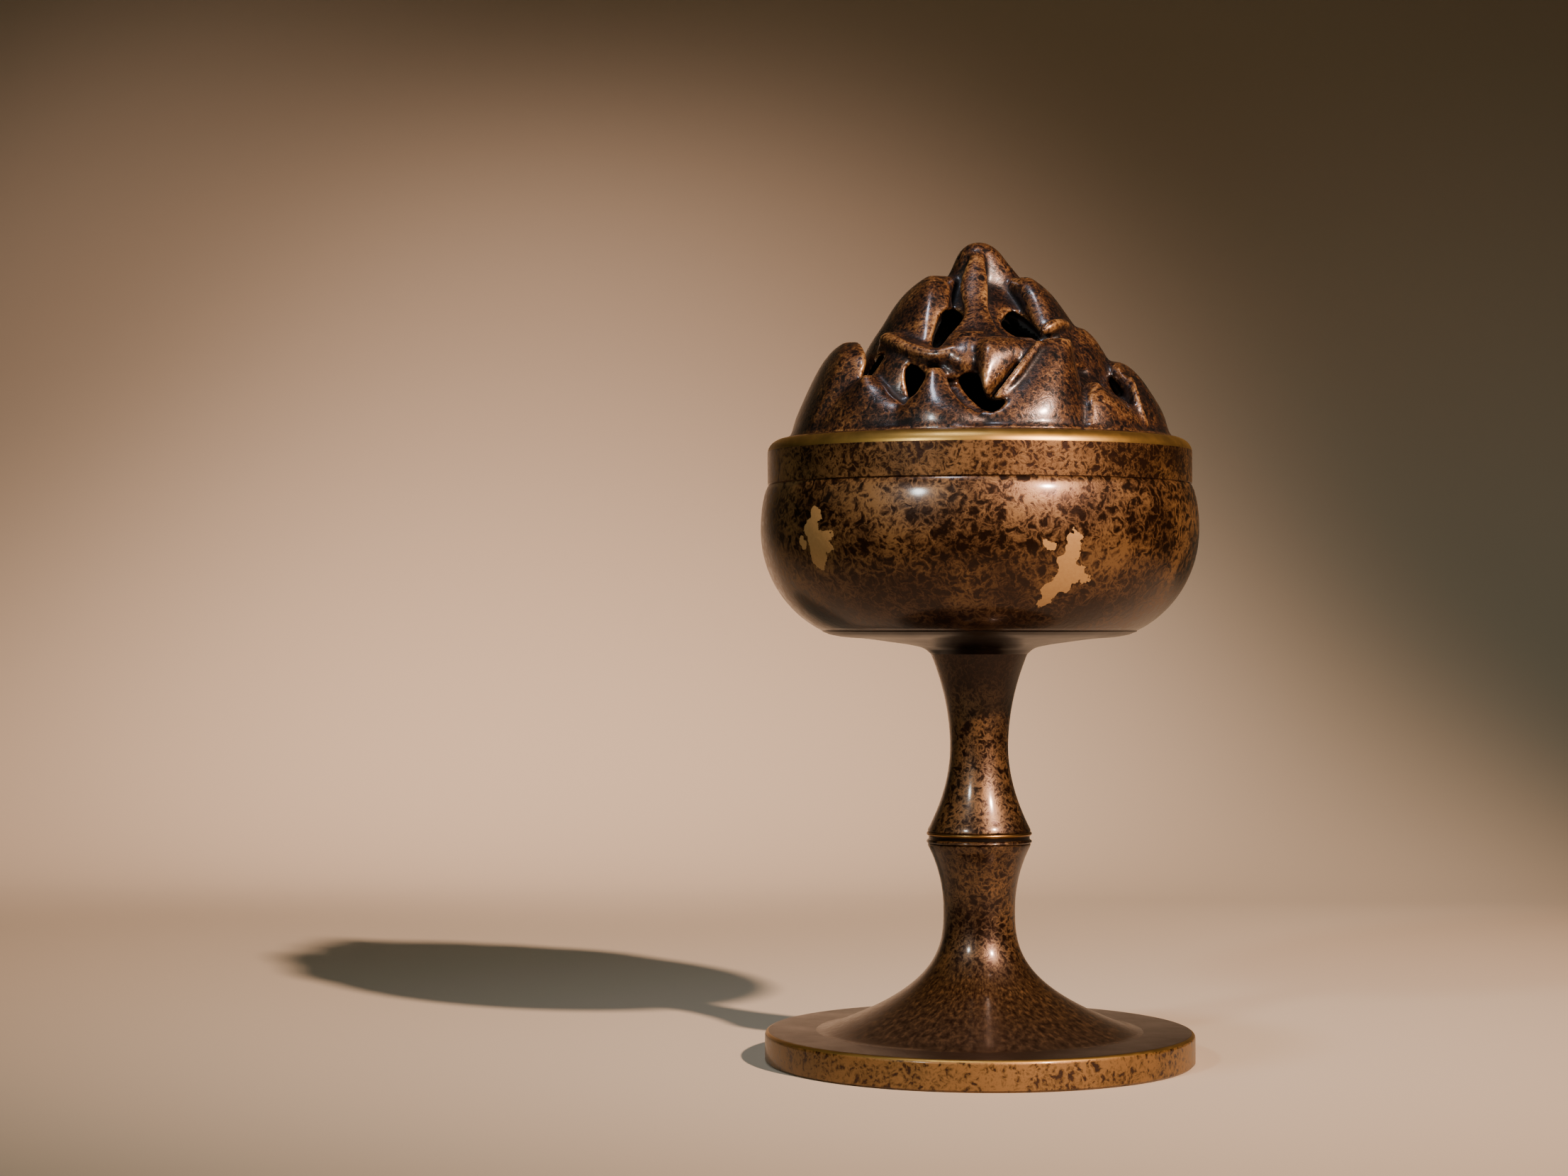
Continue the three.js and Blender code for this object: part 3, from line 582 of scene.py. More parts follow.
# %% Inner fittings
LINER_FOOT = 103.5
PLATE_FOOT = 112.7
PLATE_TOP = 114.3
ash_liner = turned("spun_liner", [
    (0, 111.5), (16.2, 111.5), (16.5, 111.2), (16.5, LINER_FOOT), (18, LINER_FOOT), (18, 111.2),
    *arc((18, 122.2), 23.3, 10.7, -90, 0, 18)[1:], (41.3, 130.6),
    *arc((40.7, 130.6), 0.6, 0.4, 0, 180, 6), *arc((18, 122.2), 22.1, 9.5, 0, -90, 18),
    (0, PLATE_FOOT)])
dress(ash_liner, "brass", "liner", "ash_liner")
incense_plate = turned("holder_plate", [
    (1.3, PLATE_FOOT), (12.6, PLATE_FOOT), *arc((12.4, 113.3), 0.6, 0.6, -60, 60, 6),
    (12.0, PLATE_TOP), (11.2, PLATE_TOP), (11.0, 114.05), (10.4, 114.05), (10.2, PLATE_TOP),
    (1.3, PLATE_TOP), (1.3, PLATE_FOOT)], 96)
dress(incense_plate, "brass", "holder", "incense_plate")
incense_pin = turned("holder_pin", [
    (0, PLATE_FOOT), (1.2, PLATE_FOOT), (1.2, PLATE_TOP), (2.6, PLATE_TOP), (2.8, 114.5),
    (2.8, 115.1), (2.6, 115.3), (1.35, 115.5), (1.2, 115.8), (1.15, 127.3), (0.6, 128.8),
    (0, 129.3)], 48)
dress(incense_pin, "brass", "holder", "incense_pin")

# %% [markdown]
# The rod, washers and nuts keep the construction's own shape and only get their metal, and the
# felt pad under the disc gets its felt.

# %% Fasteners and felt
for node in ("tie_rod", "base_washer", "base_nut", "bowl_washer", "bowl_nut", "felt_pad"):
    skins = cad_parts[node].data.materials
    skins.clear()
    skins.append(finishes["felt" if node == "felt_pad" else "steel"])
print("fasteners and felt dressed")

# %% [markdown]
# The lid is a cast mountain. It could be carved from one block in edit mode, but its forms
# overlap like scales, so each crag is laid up by itself as a stack of smooth sections between
# a left and a right bearing, all of them are fused into one skin, and the chamber and the smoke
# holes are cut out of it. A last fusing and some smoothing round every edge, as wax does before
# the casting. This one piece is built from sections in code, because extrusions by hand give
# flat steps where the real one flows.

# %% Sections
LID_FOOT = 144.0


def between(table, share):
    place = share * (len(table) - 1)
    index = min(int(place), len(table) - 2)
    along = place - index
    before = table[max(index - 1, 0)]
    after = table[min(index + 2, len(table) - 1)]
    row = []
    for p0, p1, p2, p3 in zip(before, table[index], table[index + 1], after):
        row.append(0.5 * (2 * p1 + (p2 - p0) * along
                          + (2 * p0 - 5 * p1 + 4 * p2 - p3) * along ** 2
                          + (3 * p1 - p0 - 3 * p2 + p3) * along ** 3))
    return row


def stack(sections):
    verts = [point for section in sections for point in section]
    size = len(sections[0])
    faces = []
    for level in range(len(sections) - 1):
        for i in range(size):
            here = level * size + i
            side = level * size + (i + 1) % size
            faces.append((here, side, side + size, here + size))
    for level, first in ((0, 0), (len(sections) - 1, (len(sections) - 1) * size)):
        centre = len(verts)
        verts.append(tuple(sum(axis) / size for axis in zip(*sections[level])))
        for i in range(size):
            a, b = first + i, first + (i + 1) % size
            faces.append((b, a, centre) if level == 0 else (a, b, centre))
    return verts, faces


print("halfway between 2 and 4:", between([(2,), (4,)], 0.5)[0])

# %% [markdown]
# A crag is a thick scale between two bearings, with a crest from which it falls back to both
# sides. A peak is a crag whose width is worked out, a rib is a round bar along a bent line, and
# a knoll is a full round hill.

# %% Crags, peaks, ribs and knolls
CRAG_STEPS = 26
CRAG_FRONT = 18
CRAG_BACK = 4
PEAK_STEPS = 8
PEAK_END = 0.985
RIB_STEPS = 24
RIB_SIDES = 12
KNOLL_STEPS = 20
KNOLL_SIDES = 28


def crag(levels, depth, fall=(1.6, 1.6), sharp=2.0, crest=0.0, thin=0.0):
    sections = []
    for step in range(CRAG_STEPS + 1):
        rise, left, right, reach = between(levels, step / CRAG_STEPS)
        back = max(reach - (depth - thin * (step / CRAG_STEPS) ** 2), 0.5)
        section = []
        for i in range(CRAG_FRONT + 1):
            side = i / CRAG_FRONT * 2 - 1
            off = (side - crest) / (1 - crest if side > crest else 1 + crest)
            out = reach - fall[side > crest] * abs(off) ** sharp
            section.append(polar(left + (right - left) * (side + 1) / 2, out, LID_FOOT + rise))
        for i in range(CRAG_BACK):
            side = 1 - (i + 0.5) / CRAG_BACK * 2
            section.append(polar(left + (right - left) * (side + 1) / 2, back, LID_FOOT + rise))
        sections.append(section)
    return stack(sections)


def peak(bearing, foot, foot_reach, tip, reach, half, depth, domed):
    levels = []
    for step in range(PEAK_STEPS + 1):
        along = min(step / PEAK_STEPS, PEAK_END)
        taper = (1 - along) * (1 - domed) + math.sqrt(1 - along * along) * domed
        out = foot_reach + (reach - foot_reach) * along + 1.2 * math.sin(along * math.pi)
        width = math.degrees(math.atan2(half * taper, out))
        levels.append((foot + (tip - foot) * along, bearing - width, bearing + width, out))
    return crag(levels, depth, (half * 0.32,) * 2, 1.6)


def rib(places):
    path = []
    for step in range(RIB_STEPS + 1):
        bearing, reach, rise, radius = between(places, step / RIB_STEPS)
        path.append((Vector(polar(bearing, reach, LID_FOOT + rise)), radius * MM))
    turns = [math.radians(360 * k / RIB_SIDES) for k in range(RIB_SIDES)]
    sections = []
    for i, (centre, radius) in enumerate(path):
        along = (path[min(i + 1, RIB_STEPS)][0] - path[max(i - 1, 0)][0]).normalized()
        outward = Vector((centre.x, centre.y, 0)).normalized()
        side = along.cross(outward).normalized()
        outward = side.cross(along).normalized()
        sections.append([tuple(centre + (side * math.cos(turn) + outward * math.sin(turn)) * radius)
                         for turn in turns])
    return stack(sections)


def knoll(levels):
    sections = []
    for step in range(KNOLL_STEPS + 1):
        rise, left, right, front, back = between(levels, step / KNOLL_STEPS)
        section = []
        for k in range(KNOLL_SIDES):
            angle = math.radians(360 * k / KNOLL_SIDES)
            x = math.cos(angle) * (right if math.cos(angle) > 0 else left)
            y = math.sin(angle) * (back if math.sin(angle) > 0 else front)
            section.append((x * MM, y * MM, (LID_FOOT + rise) * MM))
        sections.append(section)
    return stack(sections)


print("section of a crag has", CRAG_FRONT + 1 + CRAG_BACK, "points")

# %% [markdown]
# The front of the mountain, measured from the photograph. Each row of a table is a height above
# the collar in millimetres, the left and right bearing in degrees from the front, and the reach
# from the middle. After a crag's rows come its depth, its falls to the left and right, how
# sharply it falls, where its crest lies from -1 to 1, and how much it thins towards the top. The
# outer row stands as a wall round the rim.

# %% Outer crags of the front
shapes = [
    crag([(-0.5, -114, -50, 44.4), (4, -112, -48, 43.4), (9, -108, -46, 41.4),
          (14, -105, -46, 39.1), (17.4, -101, -48, 37.2), (20.2, -97, -56, 34.9),
          (21.8, -90, -66, 32.6)], 8, (1.4, 3.2), 1.25, 0.66, 5.0),
    crag([(-0.5, -82, -13, 44.3), (1.5, -77, -15, 43.9), (3.7, -66, -20, 43.2),
          (5.8, -59, -24.5, 42.4), (8.2, -54.5, -30.5, 41.3), (10.1, -49.3, -33.9, 40.3),
          (11.7, -46.3, -37.5, 39.4), (12.9, -43.2, -40.0, 38.8)], 7, (1.6, 2.6), 1.7, 0.2, 3.6),
    crag([(-1.2, -27.7, 4.1, 44.5), (0.6, -27.3, 3.2, 44.3), (3.0, -26.4, 0.6, 43.9),
          (5.1, -24.7, -3.9, 43.1), (7.0, -22.9, -6.7, 42.0), (9.4, -22.0, -9.2, 40.4),
          (11.8, -20.8, -11.0, 38.7), (13.9, -18.8, -13.4, 37.3)], 7, (1.9, 1.9), 1.8, 0.0, 3.6),
    crag([(-1.1, -2.5, 44, 44.3), (0.8, -2, 43, 44.0), (3.4, -0.2, 41, 43.6),
          (6.0, 4.5, 40, 42.8), (8.8, 7.6, 39.5, 41.6), (12.0, 11.7, 40.0, 39.9),
          (15.7, 16.6, 40.8, 37.8), (17.9, 19.9, 42.1, 36.4), (19.6, 23.3, 42.7, 35.2),
          (20.9, 27.5, 42.2, 34.2)], 8, (2.2, 4.8), 1.8, 0.0, 4.0),
    crag([(-0.5, 33, 75, 44.4), (1.4, 34, 72, 44.1), (3.3, 35, 68, 43.5), (5.9, 36, 62, 42.5),
          (7.8, 37.4, 57, 41.2), (9.1, 39.4, 52.5, 40.2), (10.3, 41.3, 48.2, 39.2),
          (11.2, 43.0, 45.2, 38.6)], 7, (0.7, 2.8), 1.6, -0.6, 3.0),
    crag([(-0.5, 52, 106, 44.4), (3, 56, 105, 43.4), (6.1, 60, 103, 42.3), (9.9, 64, 100, 40.1),
          (13.7, 67, 98, 37.5), (16.3, 71, 95, 34.9), (17.5, 78, 90, 32.9)],
         8, (2.0, 1.4), 1.5, 0.1, 4.0),
]
print("outer crags", len(shapes))

# %% [markdown]
# The second row leans in behind the first one and carries the summit's front, and two broad
# crags of the third row close it on the left and right.

# %% Second and third row of the front
shapes += [
    crag([(5.0, -36, -25.5, 36.6), (7.3, -38.5, -24.2, 36.4), (9.2, -41, -23.4, 36.0),
          (12.5, -45.5, -20.9, 35.2), (15.4, -47.5, -16.0, 34.0), (17.4, -48.5, -12.3, 32.8),
          (19.4, -49.5, -22.9, 31.4), (21.4, -50.5, -33.1, 30.2), (23.2, -49.5, -42.1, 29.0)],
         8, (1.0, 2.2), 2.0, -0.2),
    crag([(6.4, 1.2, 3.0, 40.0), (8.2, 0.4, 4.6, 39.8), (10.1, 0.0, 7.2, 39.4),
          (13.4, -0.4, 11.6, 38.4), (16.4, -0.8, 16.6, 37.2), (18.6, -1.2, 21.4, 35.8),
          (20.4, -0.8, 25.0, 33.4), (21.2, -0.4, 26.0, 31.0)], 8, (2.6, 2.6), 1.3, -0.62),
    crag([(11.5, -15.5, 0.5, 34.2), (14.5, -16.1, 2.2, 33.8), (17.0, -17.3, 7.3, 32.2),
          (19.1, -18.6, 14.4, 30.2), (20.9, -17.1, 13.7, 28.4), (23.1, -14.9, 10.7, 25.8),
          (25.8, -11.9, 8.6, 22.8), (28.5, -10.4, 7.3, 19.8), (31.2, -15.0, 8.2, 16.9),
          (34.8, -20.8, 10.4, 13.6), (39.2, -22.1, 11.6, 9.6), (42.5, -20, 12, 6.0)],
         8, (0.8, 0.8), 2.4),
    crag([(8, 52, 110, 34.6), (13, 54, 109, 32.2), (17.3, 55, 107, 30.4), (19.7, 57, 105, 29.1),
          (22.7, 60, 101, 27.2), (24.4, 65, 95, 25.6), (25.3, 72, 88, 24.4)],
         8, (1.6, 0.8), 1.6, -0.1),
    crag([(15, -112, -15, 29.8), (20, -112, -16, 27.6), (23.7, -112, -18, 25.4),
          (26, -112, -20, 23.8), (30.3, -112, -23, 21.1), (33.6, -110, -28, 18.4),
          (36, -104, -36, 15.6), (37.4, -86, -50, 13.6)], 9, (2.0, 3.8), 1.3, 0.74),
    crag([(15, 34, 112, 30.2), (19, 35, 112, 28.0), (23, 36, 111, 25.4), (26, 37.5, 110, 23.3),
          (29.6, 39, 110, 20.8), (32.9, 41, 108, 18.3), (35.4, 45, 104, 15.7),
          (37.0, 56, 88, 13.4)], 9, (3.2, 2.0), 1.2, -0.82),
]
print("crags so far", len(shapes))

# %% [markdown]
# Ribs, the boss in the middle and the summit. A rib's rows are bearing, reach, height and
# radius. The summit's rows are a height and its half widths to the left, right, front and back.

# %% Ribs, boss and summit
shapes += [
    rib([(-46, 29.4, 21.4, 1.9), (-38, 30.6, 20.2, 1.9), (-28, 32.0, 18.2, 1.8),
         (-17, 32.8, 16.8, 1.8), (-9, 32.0, 17.6, 2.0)]),
    crag([(10.8, -7.5, -3.0, 31.0), (12.0, -10.5, -1.0, 33.4), (14.0, -15.5, 0.0, 34.8),
          (16.2, -20.0, 0.5, 34.7), (18.4, -21.0, 1.5, 33.5), (20.6, -20.0, 2.5, 31.5),
          (22.6, -17.5, 3.5, 28.8)], 7, (4.0, 1.0), 1.8, 0.3),
    crag([(7.0, 3, 14, 35.0), (10, 5, 18, 34.8), (13.5, 8, 22, 33.6), (17, 12, 26, 32.0),
          (20, 16, 29, 30.0)], 7, (0.6, 0.6)),
    rib([(5.0, 40.3, 6.4, 0.9), (9.4, 39.6, 10.0, 0.95), (12.6, 38.8, 12.6, 1.0),
         (16.6, 36.9, 15.6, 1.0), (23.6, 34.0, 19.8, 1.0)]),
    rib([(32, 25.6, 22.4, 0.8), (38, 25.9, 24.0, 1.5), (46, 24.8, 25.0, 1.4),
         (55, 23.6, 25.2, 1.3), (64, 22.0, 25.0, 1.2)]),
    rib([(62, 42.6, 1.6, 0.9), (61, 41.2, 6.0, 0.9), (64, 39.2, 9.8, 0.9), (69, 36.8, 13.0, 0.8)]),
    rib([(74, 42.6, 1.6, 0.9), (74, 41.0, 6.4, 0.9), (76, 38.8, 10.4, 0.9), (79, 36.2, 14.2, 0.8)]),
    knoll([(24, 20, 20, 16, 20), (30, 13.4, 14.6, 9.2, 15), (34.5, 9.0, 11.6, 7.2, 12),
           (37.5, 7.4, 9.6, 6.4, 10), (41, 5.8, 6.7, 5.4, 7.4), (43.4, 4.6, 4.9, 4.8, 5.2),
           (44.9, 3.1, 3.1, 3.2, 3.4), (45.5, 2.0, 2.0, 2.0, 2.1), (45.74, 0.8, 0.8, 0.8, 0.8)]),
]
print("front shapes", len(shapes))

# %% [markdown]
# The sides and the back can't be seen in the photograph. They follow the front's habit: an
# outer row of tall and low crags, a second row in its gaps, and a third that leans on the summit.

# %% Crags of the sides and back
# foot, its reach and depth of a row, then bearing, tip, reach, half width and roundness of each
for foot, foot_reach, depth, row in (
        (-0.5, 44.3, 7.5, (
            (106, 12.6, 38.2, 14.5, 0.25), (134, 21.6, 34.0, 17.5, 0.6),
            (163, 13.6, 38.0, 15.5, 0.2), (194, 19.2, 35.4, 16.0, 0.5),
            (221, 13.0, 38.4, 15.5, 0.25), (246, 17.6, 35.8, 13.5, 0.45))),
        (4, 39.0, 9, (
            (-114, 24.2, 23.6, 9.5, 0.55), (113, 25.4, 26.0, 11.5, 0.5),
            (154, 28.0, 24.6, 12.5, 0.6), (188, 23.4, 28.0, 12.0, 0.5),
            (224, 26.6, 25.0, 12.5, 0.6))),
        (16, 29.6, 9, (
            (106, 33.0, 17.0, 8.5, 0.5), (150, 35.2, 15.0, 9.0, 0.5),
            (204, 37.4, 13.9, 9.0, 0.5), (250, 33.6, 16.6, 8.5, 0.5)))):
    for bearing, tip, reach, half, domed in row:
        shapes.append(peak(bearing, foot, foot_reach, tip, reach, half, depth, domed))
print("shapes", len(shapes))

# %% [markdown]
# Hillside, rim, smoke chamber and smoke holes. The hillside is what shows in the gaps, and the
# chamber is the same hill, smaller, so that the wall keeps an even thickness. Each hole is an
# outline pushed straight in.

# %% Hillside, chamber and holes
HILL = [(0, 43.5), (4.6, 38.1), (13.8, 29.6), (20.2, 24.2), (26.7, 16.6), (33.1, 9.4), (39.6, 2.7)]
LID_WALL = 4.5
SINK = 0.4
CUT_STEPS = 6
CUT_FROM = 9.0
CUT_TO = 50.0


def hill(inset, bottom):
    outline = [(max(reach - inset, 0.5), LID_FOOT + rise - inset * SINK) for rise, reach in HILL]
    outline = [(reach, max(height, bottom)) for reach, height in outline]
    return [(0, bottom), (outline[0][0], bottom), *outline[1:], (0, outline[-1][1] + 0.5)]


def prism(bearing, across, rise, outline):
    points = []
    for i in range(len(outline)):
        corners = [outline[(i + k) % len(outline)] for k in (-1, 0, 1, 2)]
        for step in range(CUT_STEPS):
            points.append(between(corners, (1 + step / CUT_STEPS) / 3))
    turn = math.radians(bearing)
    sections = []
    for reach in (CUT_FROM, CUT_TO):
        section = []
        for x, y in points:
            side, height = across + x, LID_FOOT + rise + y
            section.append(((reach * math.sin(turn) + side * math.cos(turn)) * MM,
                            (-reach * math.cos(turn) + side * math.sin(turn)) * MM, height * MM))
        sections.append(section)
    return stack(sections)


TALL_HOLE = [(0.6, 5), (3.8, 2.4), (2.7, -3), (-1, -4.5), (-3.2, -2.7), (-3.1, 2.7)]
LOW_HOLE = [(-2.6, 2.6), (1.6, 3.4), (3, -0.6), (0, -3.8), (-2.8, -1.6)]
holes = [
    prism(0, -7.0, 24.1, [(0.9, 4.9), (3.6, 2.5), (0.5, -2.1), (-1.6, -5.1), (-3.6, -4.1),
                          (-1.9, 2.7)]),
    prism(0, 9.6, 24.9, [(-3.3, 2.9), (-1.6, 3.5), (2.2, 0.8), (4.5, -3), (-0.8, -3.1), (-4.6, 0)]),
    prism(0, -14.3, 11.0, [(-1.9, 3.3), (0, 3.9), (2.5, 1.6), (1.6, -1.1), (-0.6, -3.9),
                           (-2, -0.3)]),
    prism(0, 0.2, 8.2, [(-4.7, 3.6), (-0.3, 4.2), (0.9, 0.5), (2.5, -1.6), (5.9, -1.9),
                        (2.6, -4.7), (-2.2, -1.2)]),
    prism(0, -23.2, 15.6, [(1.0, 2.6), (2.2, 2.0), (-0.7, -2.3), (-1.9, -1.7)]),
    prism(0, 31.2, 11.1, [(-2, 2.4), (-0.4, 1.8), (2.1, -2.4), (-0.4, -1.6)]),
    *[prism(bearing, 0, 24.4, TALL_HOLE) for bearing in (90, 128, 180, 228, 270)],
    *[prism(bearing, 0, 12.0, LOW_HOLE) for bearing in (90, 119, 148, 207, 232, 262)],
]
print("holes", len(holes))

# %% [markdown]
# Now everything is fused. The crags, the hillside and the rim become one skin on a fine grid,
# the chamber and the holes are cut out of it, and a second, slightly wider grid and a few rounds
# of smoothing soften the cuts.

# %% Fuse, cut and smooth
FINE_GRID = 0.5
CAST_GRID = 0.6


def solids_object(name, solids):
    verts, faces = [], []
    for solid_verts, solid_faces in solids:
        start = len(verts)
        verts += solid_verts
        faces += [tuple(index + start for index in face) for face in solid_faces]
    mesh = bpy.data.meshes.new(name)
    mesh.from_pydata(verts, [], faces)
    solid = bpy.data.objects.new(name, mesh)
    bpy.context.collection.objects.link(solid)
    choose(solid)
    bpy.ops.object.mode_set(mode="EDIT")
    bpy.ops.mesh.select_all(action="SELECT")
    bpy.ops.mesh.normals_make_consistent(inside=False)
    bpy.ops.object.mode_set(mode="OBJECT")
    return solid


def apply_modifier(piece, kind, **settings):
    modifier = piece.modifiers.new(kind.lower(), kind)
    for key, value in settings.items():
        setattr(modifier, key, value)
    choose(piece)
    bpy.ops.object.modifier_apply(modifier=modifier.name)


hillside = turned("hillside", hill(0, LEDGE), 128)
rim = turned("lid_rim", [
    (39.6, LEDGE), (44.8, LEDGE), (44.8, 144.4), (39.6, 144.4), (39.6, LEDGE)], 128)
lid = solids_object("cast_lid", shapes)
for piece in (hillside, rim):
    piece.select_set(True)
bpy.ops.object.join()
apply_modifier(lid, "REMESH", mode="VOXEL", voxel_size=FINE_GRID * MM)
chamber = turned("chamber", hill(LID_WALL, 141.5), 96)
cutter = solids_object("smoke_holes", holes)
for tool in (chamber, cutter):
    apply_modifier(lid, "BOOLEAN", operation="DIFFERENCE", object=tool, solver="EXACT")
apply_modifier(lid, "REMESH", mode="VOXEL", voxel_size=CAST_GRID * MM)
apply_modifier(lid, "SMOOTH", factor=0.5, iterations=4)
for tool in (chamber, cutter):
    bpy.data.objects.remove(tool)
choose(lid)
bpy.ops.object.shade_smooth()
print("lid triangles", sum(len(face.vertices) - 2 for face in lid.data.polygons))

# %% [markdown]
# The lid's finish needs two facts about its shape: where it stands out and where it is hollow.
# Hands and cloth rub the ridges bright and leave the dark film in the valleys, and the valleys
# are darkened further as painted shade. A copy of the lid is smoothed hard, and the distance
# from the copy to the real skin says which is which. Inside, the chamber is blackened by smoke,
# so that is marked as well.

# %% Ridges, valleys and soot
FINE_ROUNDS = 14
BROAD_ROUNDS = 90
ABOVE_CHAMBER = -9.0
SOOT_DEEP = 3.2
SOOT_FADE = 1.2


def marks(piece, name, values):
    attribute = piece.data.attributes.new(name, "FLOAT", "POINT")
    attribute.data.foreach_set("value", values)
    print(name, "from", round(min(values), 2), "to", round(max(values), 2))


def stand_proud(piece, rounds):
    choose(piece)
    bpy.ops.object.duplicate()
    worn = bpy.context.object
    apply_modifier(worn, "SMOOTH", factor=0.5, iterations=rounds)
    values = [(vertex.co - soft.co).dot(vertex.normal) / MM
              for vertex, soft in zip(piece.data.vertices, worn.data.vertices)]
    bpy.data.objects.remove(worn)
    return values


def chamber_reach(height):
    table = [(reach - LID_WALL, LID_FOOT + rise - LID_WALL * SINK) for rise, reach in HILL]
    for (reach, low), (next_reach, high) in zip(table, table[1:]):
        if low <= height <= high:
            return reach + (next_reach - reach) * (height - low) / (high - low)
    return table[0][0] if height < table[0][1] else ABOVE_CHAMBER


fine = stand_proud(lid, FINE_ROUNDS)
broad = stand_proud(lid, BROAD_ROUNDS)
# One mark for rubbed ridges and for painted shade in the valleys.
marks(lid, "wear_and_painted_shade", [a * 2.8 + b * 0.5 for a, b in zip(fine, broad)])
soot = []
for vertex in lid.data.vertices:
    reach = math.hypot(vertex.co.x, vertex.co.y) / MM
    inside = chamber_reach(vertex.co.z / MM) + SOOT_DEEP - reach
    soot.append(min(max(inside / SOOT_FADE, 0.0), 1.0))
marks(lid, "soot", soot)

# %% [markdown]
# Lid patina: the bowl's film and ochre net, closer and softer, under a glossier wax. The mark
# for raised places lifts the ridges towards ochre, as rubbing does, and sinks the valleys into a
# purple black, which is partly the unrubbed film and partly painted shade. Neither cloth nor
# wax reached the valleys, so they are duller as well. The soot mark makes the chamber's wall
# black and dull.

# %% Lid finish
SOOT_FACES = 1.8


def lid_patina(name):
    material, shader = new_material(name)
    place = add_node(material, "TexCoord").outputs["Object"]
    wear_and_painted_shade = add_node(material, "Attribute", attribute_name="wear_and_painted_shade").outputs["Fac"]
    sooty = add_node(material, "Attribute", attribute_name="soot").outputs["Fac"]
    cast, _ = mottle(material, place, (1.8, 0.65, 0.4), 9, 2.7, -0.42, 1.0, 0.85)
    # Ridges lighter as rubbed wear, valleys darker as painted shade.
    wear_and_shade_lift = add_node(material, "MapRange", {
        "Value": wear_and_painted_shade, "From Min": -0.7, "From Max": 0.9, "To Min": -0.3, "To Max": 0.36})
    level = add_node(material, "Math", {
        0: cast, 1: wear_and_shade_lift.outputs["Result"]}, operation="ADD").outputs[0]
    tones = add_node(material, "ValToRGB", {"Fac": level}, (
        (0.08, "120D0E"), (0.3, "20130F"), (0.48, "38200F"), (0.66, "543619"), (0.9, "74542E")))
    colour = add_node(material, "Mix", {
        "Factor": sooty, 6: tones.outputs["Color"], 7: hex_colour("060504")}, data_type="RGBA")
    shine = add_node(material, "MapRange", {
        "Value": level, "From Min": 0.1, "From Max": 0.9, "To Min": 0.26, "To Max": 0.46})
    hollow = add_node(material, "MapRange", {
        "Value": wear_and_painted_shade, "From Min": -0.7, "From Max": 0.1, "To Min": 0.22, "To Max": 0.0})
    dull = add_node(material, "Math", {
        0: shine.outputs["Result"], 1: hollow.outputs["Result"]}, operation="ADD")
    rough = add_node(material, "MapRange", {
        "Value": sooty, "To Min": dull.outputs[0], "To Max": 0.95})
    bare = add_node(material, "MapRange", {
        "Value": level, "From Min": 0.2, "From Max": 0.8, "To Min": 0.6, "To Max": 0.3})
    metallic = add_node(material, "MapRange", {
        "Value": sooty, "To Min": bare.outputs["Result"], "To Max": 0.0})
    rubbed = add_node(material, "MapRange", {
        "Value": wear_and_painted_shade, "From Min": -0.6, "From Max": 0.1, "To Min": 0.06, "To Max": 0.5})
    wax = add_node(material, "MapRange", {
        "Value": sooty, "To Min": rubbed.outputs["Result"], "To Max": 0.0})
    bump = add_node(material, "Bump", {"Height": cast, "Strength": 0.3, "Distance": 0.16 * MM})
    plug(material, shader, {
        "Base Color": colour.outputs[2], "Metallic": metallic.outputs["Result"],
        "Roughness": rough.outputs["Result"], "Normal": bump.outputs["Normal"],
        "Coat Weight": wax.outputs["Result"], "Coat Roughness": 0.18})
    return material


finishes["lid"] = lid_patina("patinated_bronze_lid")
dress(lid, "lid", "lid", "pierced_lid")
finish_part(lid, "soot",
            lambda place, normal: chamber_reach(place.z) + SOOT_FACES > place.xy.length)

# %% [markdown]
# Locating ring: the turned ring under the lid that drops into the collar's bore.

# %% Locating ring
locating_ring = turned("turned_locating_ring", [
    (39.6, 137.5), (42.0, 137.5), (42.2, 137.7), (42.2, LEDGE), (39.6, LEDGE), (39.6, 137.5)])
dress(locating_ring, "saucer", "lid", "lid_locating_ring")

# %% [markdown]
# A plain pale floor that sweeps up into a backdrop, as a roll of paper does. A low round wall far
# off closes the room, so that the floor has no end in a view from the side or from behind.

# %% Floor and backdrop
FLOOR_WIDTH = 30
FLOOR_LENGTH = 12
FLOOR_BACK = 0.65
BACKDROP_HEIGHT = 6
SWEEP = 0.24
WALL_RADIUS = 11
WALL_HEIGHT = 2.6

clear_selection()
bpy.ops.mesh.primitive_plane_add(size=1, location=(0, 0, 0))
floor = bpy.context.object
floor.name = "studio_floor"
bpy.ops.object.mode_set(mode="EDIT")
bpy.ops.mesh.select_all(action="SELECT")
bpy.ops.transform.resize(value=(FLOOR_WIDTH, FLOOR_LENGTH, 1), center_override=(0, 0, 0))
bpy.ops.transform.translate(value=(0, FLOOR_BACK - FLOOR_LENGTH / 2, 0))
bpy.ops.mesh.select_all(action="DESELECT")
bpy.ops.object.mode_set(mode="OBJECT")
for edge in floor.data.edges:
    ends = [floor.data.vertices[index].co.y for index in edge.vertices]
    edge.select = min(ends) > 0
bpy.ops.object.mode_set(mode="EDIT")
bpy.ops.mesh.select_mode(type="EDGE")
bpy.ops.mesh.extrude_region_move(TRANSFORM_OT_translate={"value": (0, 0, BACKDROP_HEIGHT)})
bpy.ops.object.mode_set(mode="OBJECT")
apply_modifier(floor, "BEVEL", width=SWEEP, segments=16, limit_method="ANGLE")
bpy.ops.object.shade_smooth()
paper, paper_shader = new_material("matt_paper")
plug(paper, paper_shader, {"Base Color": hex_colour("998B79"), "Roughness": 0.9})
floor.data.materials.append(paper)
clear_selection()
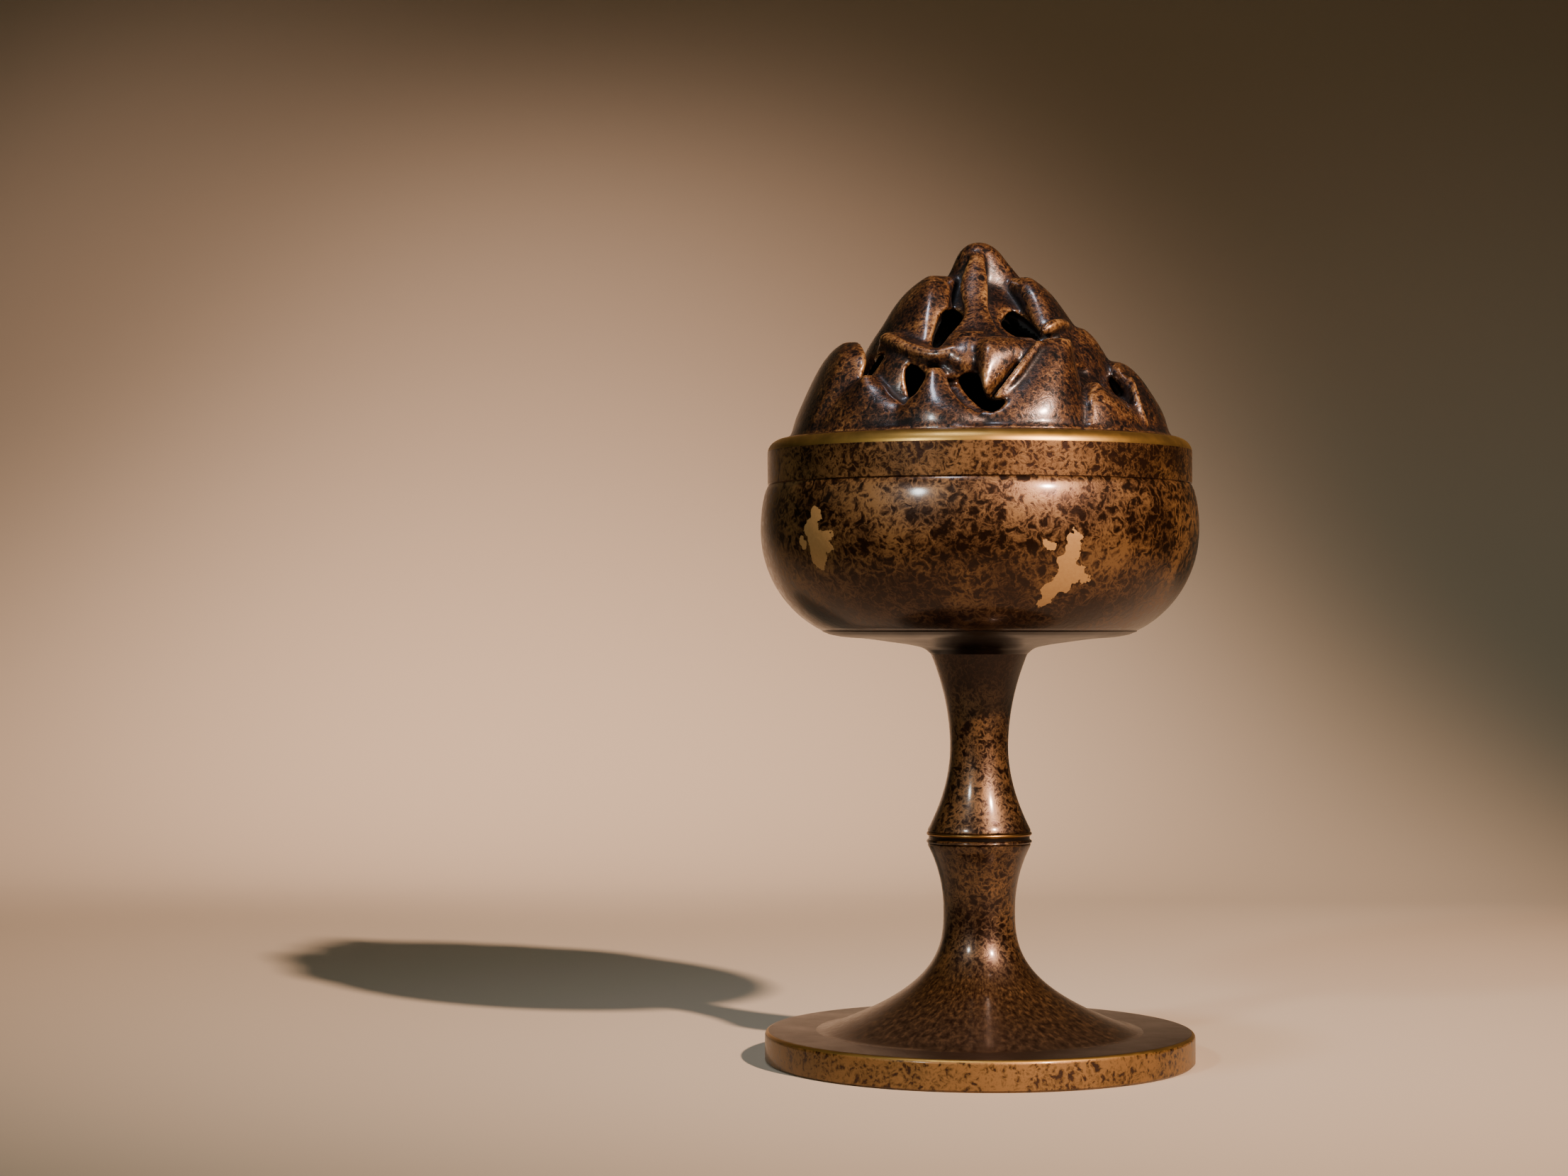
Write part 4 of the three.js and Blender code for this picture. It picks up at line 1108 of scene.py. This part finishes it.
bpy.ops.mesh.primitive_cylinder_add(
    vertices=96, radius=WALL_RADIUS, depth=WALL_HEIGHT, end_fill_type="NOTHING",
    location=(0, 0, WALL_HEIGHT / 2))
far_wall = bpy.context.object
far_wall.name = "studio_far_wall"
bpy.ops.object.transform_apply(location=True, rotation=False, scale=False)
bpy.ops.object.shade_smooth()
far_wall.data.materials.append(paper)
print("floor faces", len(floor.data.polygons), "far wall", len(far_wall.data.polygons))

# %% [markdown]
# Soft spots light it, as lamps with a snoot and a diffuser do. The warm key stands to the right,
# high in front: it throws the long shadow to the left, and its edge lets the backdrop fade
# towards the top and the right. A weaker, cooler one on the left opens the dark side, a narrow
# one high above cools what looks up, and two behind the burner widen the pool of light on the
# backdrop. The room itself gives little.

# %% Lights
def spot_light(name, place, target, angle, size, power, colour):
    light = bpy.data.lights.new(name, "SPOT")
    light.energy = power
    light.spot_size = math.radians(angle)
    light.spot_blend = 1.0
    light.shadow_soft_size = size
    light.color = hex_colour(colour)[:3]
    lamp = bpy.data.objects.new(name, light)
    bpy.context.collection.objects.link(lamp)
    lamp.location = place
    lamp.rotation_euler = (Vector(place) - Vector(target)).to_track_quat("Z", "Y").to_euler()


spot_light("key", (1.18, -1.46, 1.28), (0.05, 0.1, 0.06), 21.3, 0.045, 850, "FFDCC4")
spot_light("fill", (-0.53, -0.84, 0.58), (0, 0, 0.1), 40, 0.05, 27, "E8F0EE")
spot_light("top", (-0.2, -0.3, 1.25), (0, 0, 0.15), 18, 0.1, 26, "E4ECFF")
spot_light("pool_left", (-0.4, 0.02, 0.42), (-0.34, 0.65, 0.09), 56, 0.05, 12.5, "FFDFCE")
spot_light("pool_middle", (-0.14, 0.04, 0.4), (-0.14, 0.65, 0.065), 54, 0.05, 20, "FFDFCE")
world = bpy.data.worlds.new("studio")
bpy.context.scene.world = world
world.use_nodes = True
room = world.node_tree.nodes["Background"]
room.inputs["Color"].default_value = hex_colour("AABAA2")
room.inputs["Strength"].default_value = 0.25
